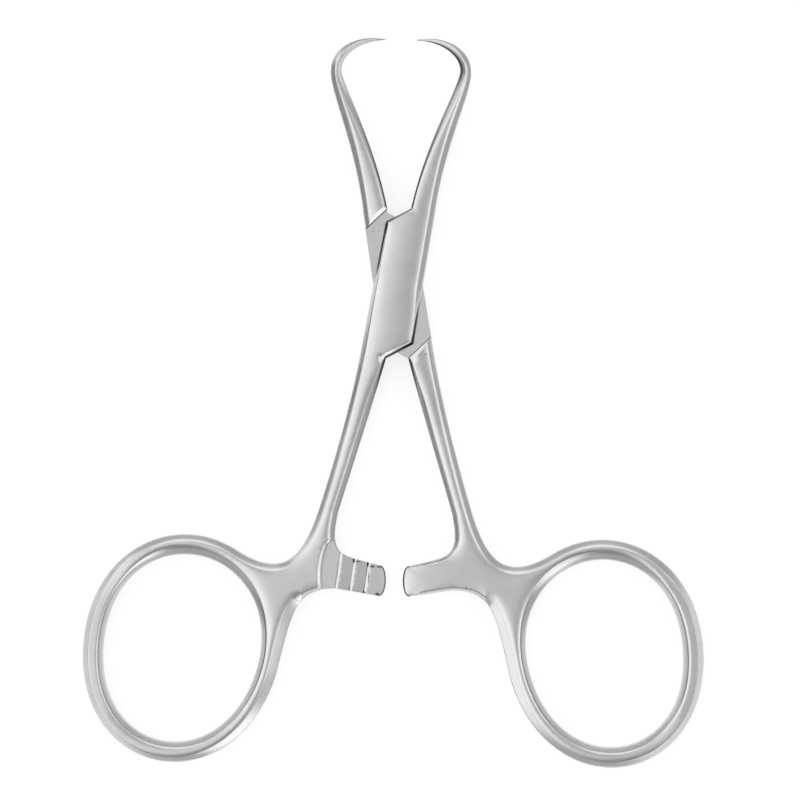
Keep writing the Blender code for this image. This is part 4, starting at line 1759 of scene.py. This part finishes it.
@dataclass(frozen=True)
class Steel:
    """Ground and satin-finished stainless steel.

    Attributes:
        colour: Reflectance at normal incidence.
        shade_paint: Colour painted as shade on the side walls, in the creases and along the
            lines between strip and face, and used in the pits.
        tone: Least and greatest brightness of the polish's faint patches.
        patches: Patches per mm.
        patch_detail: How many finer layers the patches have.
        patch_span: Values of their noise that give those tones.
        roughness: Middle roughness.
        spread: How far the roughness varies.
        bump: Strength of the grinding marks.
        mark_depth: Depth of the marks, in mm.
        mark_span: Values of their noise that give the least and the greatest roughness.
        grain: The marks.
        lock_end: Marks run across the lock up to this far from the pivot, in mm.
        ring_end: Marks run round the ring up to this far from its centre, in mm.
        fade: Width in which one run of marks gives way to another, in mm.
    """

    colour: tuple[float, float, float] = (0.612, 0.613, 0.615)
    shade_paint: tuple[float, float, float] = (0.06, 0.06, 0.06)
    tone: Pair = (0.96, 1.03)
    patches: float = 0.3
    patch_detail: float = 3.0
    patch_span: Pair = (0.3, 0.7)
    roughness: float = 0.24
    spread: float = 0.05
    bump: float = 0.11
    mark_depth: float = 0.02
    mark_span: Pair = (0.25, 0.75)
    grain: Grain = Grain()
    lock_end: float = 9.4
    ring_end: float = 14.5
    fade: float = 1.2

    def within(self, graph: Graph, distance: Socket, end: float) -> Socket:
        """1 nearer than a distance in mm, 0 beyond it, with a soft border."""
        step = graph.node("ShaderNodeMapRange", interpolation_type="SMOOTHSTEP",
                          Value=distance, From_Min=(end + self.fade) * MM,
                          From_Max=end * MM)
        return step.outputs[0]

    def grinding(self, graph: Graph, place: Socket, ring: Vector) -> Socket:
        """Grinding marks, which run along the arms, across the lock and round the ring.

        Args:
            graph: Material to write in.
            place: Coordinates in m.
            ring: Centre of the finger ring in mm.

        Returns:
            Noise output.
        """
        parts = graph.node("ShaderNodeSeparateXYZ", Vector=place).outputs
        east = graph.math("SUBTRACT", parts["X"], ring.x * MM)
        north = graph.math("SUBTRACT", parts["Y"], ring.y * MM)
        reach = graph.math("SQRT", graph.math("ADD", graph.math("MULTIPLY", east, east),
                                              graph.math("MULTIPLY", north, north)))
        arc = graph.math("MULTIPLY", graph.math("ARCTAN2", north, east), self.ring_end * MM)
        polar = graph.node("ShaderNodeCombineXYZ", X=reach, Y=arc, Z=parts["Z"]).outputs[0]
        marks = self.grain.noise(graph, place, True)
        for other, weight in (
                (self.grain.noise(graph, polar, True),
                 self.within(graph, reach, self.ring_end)),
                (self.grain.noise(graph, place, False),
                 self.within(graph, graph.math("ABSOLUTE", parts["Y"]), self.lock_end))):
            marks = graph.node("ShaderNodeMix", Factor=weight, A=marks, B=other).outputs[0]
        return marks

    def shade(self, graph: Graph, place: Socket, pits: Sequence[Pit]) -> Socket:
        """Colour of the polished metal, with painted shade on its walls, creases and lines,
        and its dark flaws.

        Args:
            graph: Material to write in.
            place: Coordinates in m.
            pits: Small flaws of the piece.

        Returns:
            Colour output.
        """
        spots = graph.node("ShaderNodeTexNoise", Vector=place, Scale=self.patches / MM,
                           Detail=self.patch_detail)
        tone = graph.node("ShaderNodeMapRange", Value=spots.outputs["Fac"],
                          From_Min=self.patch_span[0], From_Max=self.patch_span[1],
                          To_Min=self.tone[0], To_Max=self.tone[1])
        polished = graph.blend(1.0, (*self.colour, 1.0), tone.outputs[0], "MULTIPLY")
        # Painted shade from the mesh's attribute, with the dark pits and nicks added on top;
        # both take the dark colour.
        painted_shade = graph.node("ShaderNodeAttribute", attribute_name="painted_shade").outputs["Fac"]
        for pit in pits:
            painted_shade = graph.math("MAXIMUM", painted_shade, pit.mask(graph, place))
        return graph.blend(painted_shade, polished, (*self.shade_paint, 1.0))

    def material(self, name: str, ring: Vector, pits: Sequence[Pit] = ()
                 ) -> bpy.types.Material:
        """Build the node material.

        Args:
            name: Name of the material.
            ring: Centre of the finger ring in mm.
            pits: Small flaws of the piece.

        Returns:
            The material.
        """
        material = bpy.data.materials.new(name)
        material.use_nodes = True
        graph = Graph(material.node_tree)
        place = graph.node("ShaderNodeTexCoord").outputs["Object"]
        marks = self.grinding(graph, place, ring)
        graph.link(self.shade(graph, place, pits), "Base Color")
        rough = graph.node("ShaderNodeMapRange", Value=marks, From_Min=self.mark_span[0],
                           From_Max=self.mark_span[1],
                           To_Min=self.roughness - self.spread,
                           To_Max=self.roughness + self.spread)
        graph.link(rough.outputs[0], "Roughness")
        bump = graph.node("ShaderNodeBump", Strength=self.bump,
                          Distance=self.mark_depth * MM, Height=marks)
        graph.link(bump.outputs[0], "Normal")
        graph.shader.inputs["Metallic"].default_value = 1.0
        return material


class Finish(Enum):
    """Finishes of the clamp."""

    SATIN = Steel()


@dataclass
class BoxHalf:
    """Right jaw, slotted box, left shank, front ratchet bar and left ring: one forging.

    Attributes:
        clamp: Sizes of the clamp.
        grind: Edges of its jaw.
        nicks: Small flaws that the milling cutter left round the teeth.
        sharp: Angle from which an edge is shaded sharp, in degrees.
        plan: Its outline.
        blank: Its forging before the cuts.
    """

    clamp: Clamp
    # Its last sizes darken the hook's inner wall and the line beside the outer strip, as
    # painted shade.
    grind: Grind = Grind(outer=0.34, inner=0.56, outer_crest=0.86, inner_crest=0.94,
                         inner_painted_shade=1.0, tip_inner=0.34, line=0.0, hook_slope=0.8)
    nicks: tuple[Pit, ...] = (
        Pit((-5.02, -34.35, 1.9), (0.16, 0.45, 0.6), 1.0),
        Pit((-4.55, -34.45, 1.9), (0.45, 0.14, 0.6), 0.8),
        Pit((-3.30, -34.75, 1.9), (0.2, 0.5, 0.6), 1.0),
        Pit((-2.75, -35.05, 1.9), (0.5, 0.22, 0.6), 0.9),
        Pit((-1.95, -35.1, 1.9), (0.4, 0.16, 0.6), 0.9),
        Pit((-3.2, -36.4, 1.9), (0.09, 1.2, 0.6), 0.8),
        Pit((-2.1, -38.5, 1.9), (0.45, 0.3, 0.6), 0.95),
        Pit((-3.7, -38.3, 1.9), (0.4, 0.2, 0.6), 0.7),
    )
    sharp: float = 32.0
    plan: HalfPlan = field(init=False)
    blank: Blank = field(init=False)

    def __post_init__(self) -> None:
        """Draw the half."""
        self.plan = HalfPlan(self.clamp, 0.0, self.grind)
        self.blank = Blank(self.plan, teeth_up=True)

    def build(self) -> bpy.types.Object:
        """Forge the half, and cut its slot and the seat of the pin.

        Returns:
            The half.
        """
        shop, clamp = Workshop(self.clamp), self.clamp
        item = self.blank.build("box_forging", flip=False)
        shop.cut(item, [shop.slot(self.plan),
                        shop.spun("seat_cutter", clamp.pin.seat(clamp.lock))])
        return finished(item, self.sharp)

    def dress(self, item: bpy.types.Object) -> None:
        """Give the half its finish, and put it on its body.

        Args:
            item: The half.
        """
        ring = below(self.clamp.ring.centre)
        steel = Finish.SATIN.value.material("box steel", ring, self.nicks)
        item.data.materials.append(steel)
        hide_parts("box_half")
        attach(item, "box")


@dataclass
class TongueHalf:
    """Left jaw, tongue, right shank, rear ratchet bar and right ring: one forging.

    Attributes:
        clamp: Sizes of the clamp.
        grind: Edges of its jaw.
        pits: Small flaws of its tongue and shank.
        sharp: Angle from which an edge is shaded sharp, in degrees.
        plan: Its outline.
        blank: Its forging before the cuts.
    """

    clamp: Clamp
    # Its last sizes darken the hook's inner wall and the line beside the outer strip, as
    # painted shade.
    grind: Grind = Grind(outer=0.46, inner=0.42, outer_crest=0.95, inner_crest=0.88,
                         inner_painted_shade=0.1, tip_inner=0.45, line=0.45, hook_slope=1.3)
    pits: tuple[Pit, ...] = (
        Pit((-3.1, 6.62, 2.95), (0.18, 0.14, 0.3), 0.35),
        Pit((-2.45, 6.72, 2.95), (0.14, 0.11, 0.3), 0.3),
        Pit((-2.5, 3.3, 2.95), (0.5, 0.12, 0.3), 0.14),
        Pit((3.52, -8.55, 3.9), (0.16, 0.2, 0.4), 0.85),
    )
    sharp: float = 32.0
    plan: HalfPlan = field(init=False)
    blank: Blank = field(init=False)

    def __post_init__(self) -> None:
        """Draw the half."""
        self.plan = HalfPlan(self.clamp, self.clamp.lock.drop, self.grind)
        self.blank = Blank(self.plan, teeth_up=False)

    def build(self) -> bpy.types.Object:
        """Forge the half, thin its tongue and bore it.

        Returns:
            The half.
        """
        shop, clamp = Workshop(self.clamp), self.clamp
        item = self.blank.build("tongue_forging", flip=True)
        shop.cut(item, [*shop.recesses(),
                        shop.spun("bore_cutter", clamp.pin.bore(clamp.lock))])
        shop.paint_crease_shade(item)
        return finished(item, self.sharp)

    def dress(self, item: bpy.types.Object) -> None:
        """Give the half its finish, and put it on its body.

        Args:
            item: The half.
        """
        ring = mirrored(below(self.clamp.ring.centre))
        steel = Finish.SATIN.value.material("tongue steel", ring, self.pits)
        item.data.materials.append(steel)
        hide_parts("tongue_half")
        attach(item, "tongue")


@dataclass
class PivotPin:
    """Rivet whose ends are ground off with the cheeks.

    Attributes:
        clamp: Sizes of the clamp.
        surface: Surface of the box half, which the ends are ground to.
        rings: Rings of points on each end.
        sharp: Angle from which an edge is shaded sharp, in degrees.
    """

    clamp: Clamp
    surface: Surface
    rings: int = 10
    sharp: float = 40.0

    def build(self) -> bpy.types.Object:
        """Turn the pin, with ends that follow the cheeks.

        Returns:
            The pin.
        """
        pin, lock = self.clamp.pin, self.clamp.lock
        angles = np.linspace(0, math.tau, pin.segments, endpoint=False)
        circle = np.column_stack([np.cos(angles), np.sin(angles)])
        end = []
        for step in range(1, self.rings + 1):
            places = circle * (pin.head / 2 * step / self.rings)
            end.append(np.column_stack([places,
                                        lock.half + self.surface.heights(places)[0]]))
        body = [np.column_stack([circle * (pin.diameter / 2),
                                 np.full(len(circle), height)])
                for height in (lock.thickness - pin.head_depth, pin.head_depth)]
        lower = [np.column_stack([ring[:, :2], lock.thickness - ring[:, 2]])
                 for ring in end[::-1]]
        rings = [ring.tolist() for ring in [*end, *body, *lower]]
        return finished(solid("riveted_pin", rings), self.sharp)

    def dress(self, item: bpy.types.Object) -> None:
        """Give the pin its finish, and put it on its body.

        Args:
            item: The pin.
        """
        ring = below(self.clamp.ring.centre)
        item.data.materials.append(Finish.SATIN.value.material("pin steel", ring))
        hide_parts("pivot_pin")
        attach(item, "box")


@dataclass(frozen=True)
class Panel:
    """Soft panel of the light tent over the table.

    Attributes:
        right: Lean of its middle from straight up towards +X, in degrees.
        back: Lean towards +Y.
        full: Angle from its middle up to which it is evenly lit.
        end: Angle where its light ends.
        level: Light that it adds; below 0 it is a dark flag.
    """

    right: float
    back: float
    full: float
    end: float
    level: float

    def light(self, graph: Graph, way: Socket) -> Socket:
        """Light of the panel in a direction.

        Args:
            graph: World to write in.
            way: The direction.

        Returns:
            Level output.
        """
        middle = Vector((math.tan(math.radians(self.right)),
                         math.tan(math.radians(self.back)), 1.0)).normalized()
        near = graph.vector("DOT_PRODUCT", way, middle)
        step = graph.node("ShaderNodeMapRange", interpolation_type="SMOOTHSTEP",
                          Value=near["Value"], From_Min=math.cos(math.radians(self.end)),
                          From_Max=math.cos(math.radians(self.full)), To_Max=self.level)
        return step.outputs[0]


@dataclass(frozen=True)
class Studio:
    """Pale table, the light tent round it and the camera that looks down on the clamp.

    Attributes:
        floor_size: Width of the table, in m.
        floor_colour: Its brightness, as it lights the clamp.
        shown_colour: Its brightness where the camera or a reflection shows it.
        floor_roughness: Its roughness.
        glow: Light that is added where it shows.
        tent: Light that the tent gives from all round.
        panels: Brighter and darker places in the tent.
        camera_height: Height of the camera, in m.
        frame_width: Width of the picture on the table, in m.
        sensor: Width of the camera's sensor, in mm.
        near_clip: Nearest distance that the camera sees, in m.
        aim: Place that the camera looks at, in m.
        roll: How far the picture is turned.
    """

    floor_size: float = 4.0
    floor_colour: float = 0.8
    shown_colour: float = 0.35
    floor_roughness: float = 0.9
    glow: float = 0.75
    tent: float = 0.56
    panels: tuple[Panel, ...] = (
        Panel(-35.5, -9, 14, 44, 0.9),
        Panel(38, 4, 10, 25, 0.95),
        Panel(0, 48, 12, 32, 0.8),
        Panel(5, -37, 12, 34, -0.26),
        Panel(-80, -30, 10, 32, -0.32),
        Panel(50, -58, 12, 24, 1.2),
        Panel(-58, 52, 8, 22, 0.8),
    )
    camera_height: float = 0.6
    frame_width: float = 0.1
    sensor: float = 36.0
    near_clip: float = 0.01
    aim: Pair = (0.42 * MM, -14.27 * MM)
    roll: float = math.radians(0.75)

    def floor(self) -> bpy.types.Object:
        """Table that keeps the clamp's shadow and looks white.

        Returns:
            The table.
        """
        half = self.floor_size / 2
        mesh = bpy.data.meshes.new("table")
        mesh.from_pydata([(-half, -half, 0), (half, -half, 0), (half, half, 0),
                          (-half, half, 0)], [], [(0, 1, 2, 3)])
        item = placed("table", mesh)
        material = bpy.data.materials.new("pale table")
        material.use_nodes = True
        graph = Graph(material.node_tree)
        rays = graph.node("ShaderNodeLightPath").outputs
        seen = graph.math("MAXIMUM", rays["Is Camera Ray"],
                          graph.math("MAXIMUM", rays["Is Glossy Ray"],
                                     rays["Is Transmission Ray"]))
        colour = graph.node("ShaderNodeMix", Factor=seen, A=self.floor_colour,
                            B=self.shown_colour)
        graph.link(colour.outputs[0], "Base Color")
        graph.shader.inputs["Roughness"].default_value = self.floor_roughness
        graph.shader.inputs["Specular IOR Level"].default_value = 0.0
        graph.shader.inputs["Emission Color"].default_value = (1, 1, 1, 1)
        graph.link(graph.math("MULTIPLY", seen, self.glow), "Emission Strength")
        mesh.materials.append(material)
        return item

    def world(self) -> None:
        """Light of the tent, white where the camera looks past the table."""
        world = bpy.data.worlds.new("studio")
        world.use_nodes = True
        bpy.context.scene.world = world
        graph = Graph(world.node_tree)
        way = graph.node("ShaderNodeTexCoord").outputs["Generated"]
        level = self.tent
        for panel in self.panels:
            level = graph.math("ADD", level, panel.light(graph, way))
        rays = graph.node("ShaderNodeLightPath").outputs
        shown = graph.node("ShaderNodeMix", A=level, B=1.0, Factor=rays["Is Camera Ray"])
        back = graph.tree.nodes["Background"]
        back.inputs["Color"].default_value = (1, 1, 1, 1)
        graph.tree.links.new(shown.outputs[0], back.inputs["Strength"])

    def camera(self) -> None:
        """Camera straight above, turned a little as in the photograph."""
        lens = bpy.data.cameras.new("camera")
        lens.sensor_width = self.sensor
        lens.lens = self.sensor * self.camera_height / self.frame_width
        lens.clip_start = self.near_clip
        item = placed("camera", lens)
        item.location = (*self.aim, self.camera_height)
        item.rotation_euler = (0, 0, self.roll)
        bpy.context.scene.camera = item

    def set_up(self) -> None:
        """Build the whole studio."""
        self.floor()
        self.world()
        self.camera()
        bpy.context.scene.view_settings.view_transform = "Standard"


def main() -> None:
    """Build and dress the clamp and its studio."""
    logging.basicConfig(level=logging.INFO, format="%(message)s")
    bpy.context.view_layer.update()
    clamp = Clamp()
    box, tongue = BoxHalf(clamp), TongueHalf(clamp)
    pin = PivotPin(clamp, box.blank.surface)
    for maker in (box, tongue, pin):
        item = maker.build()
        maker.dress(item)
        LOG.info("%s: %d faces", item.name, len(item.data.polygons))
    Studio().set_up()


if __name__ == "__main__":
    main()
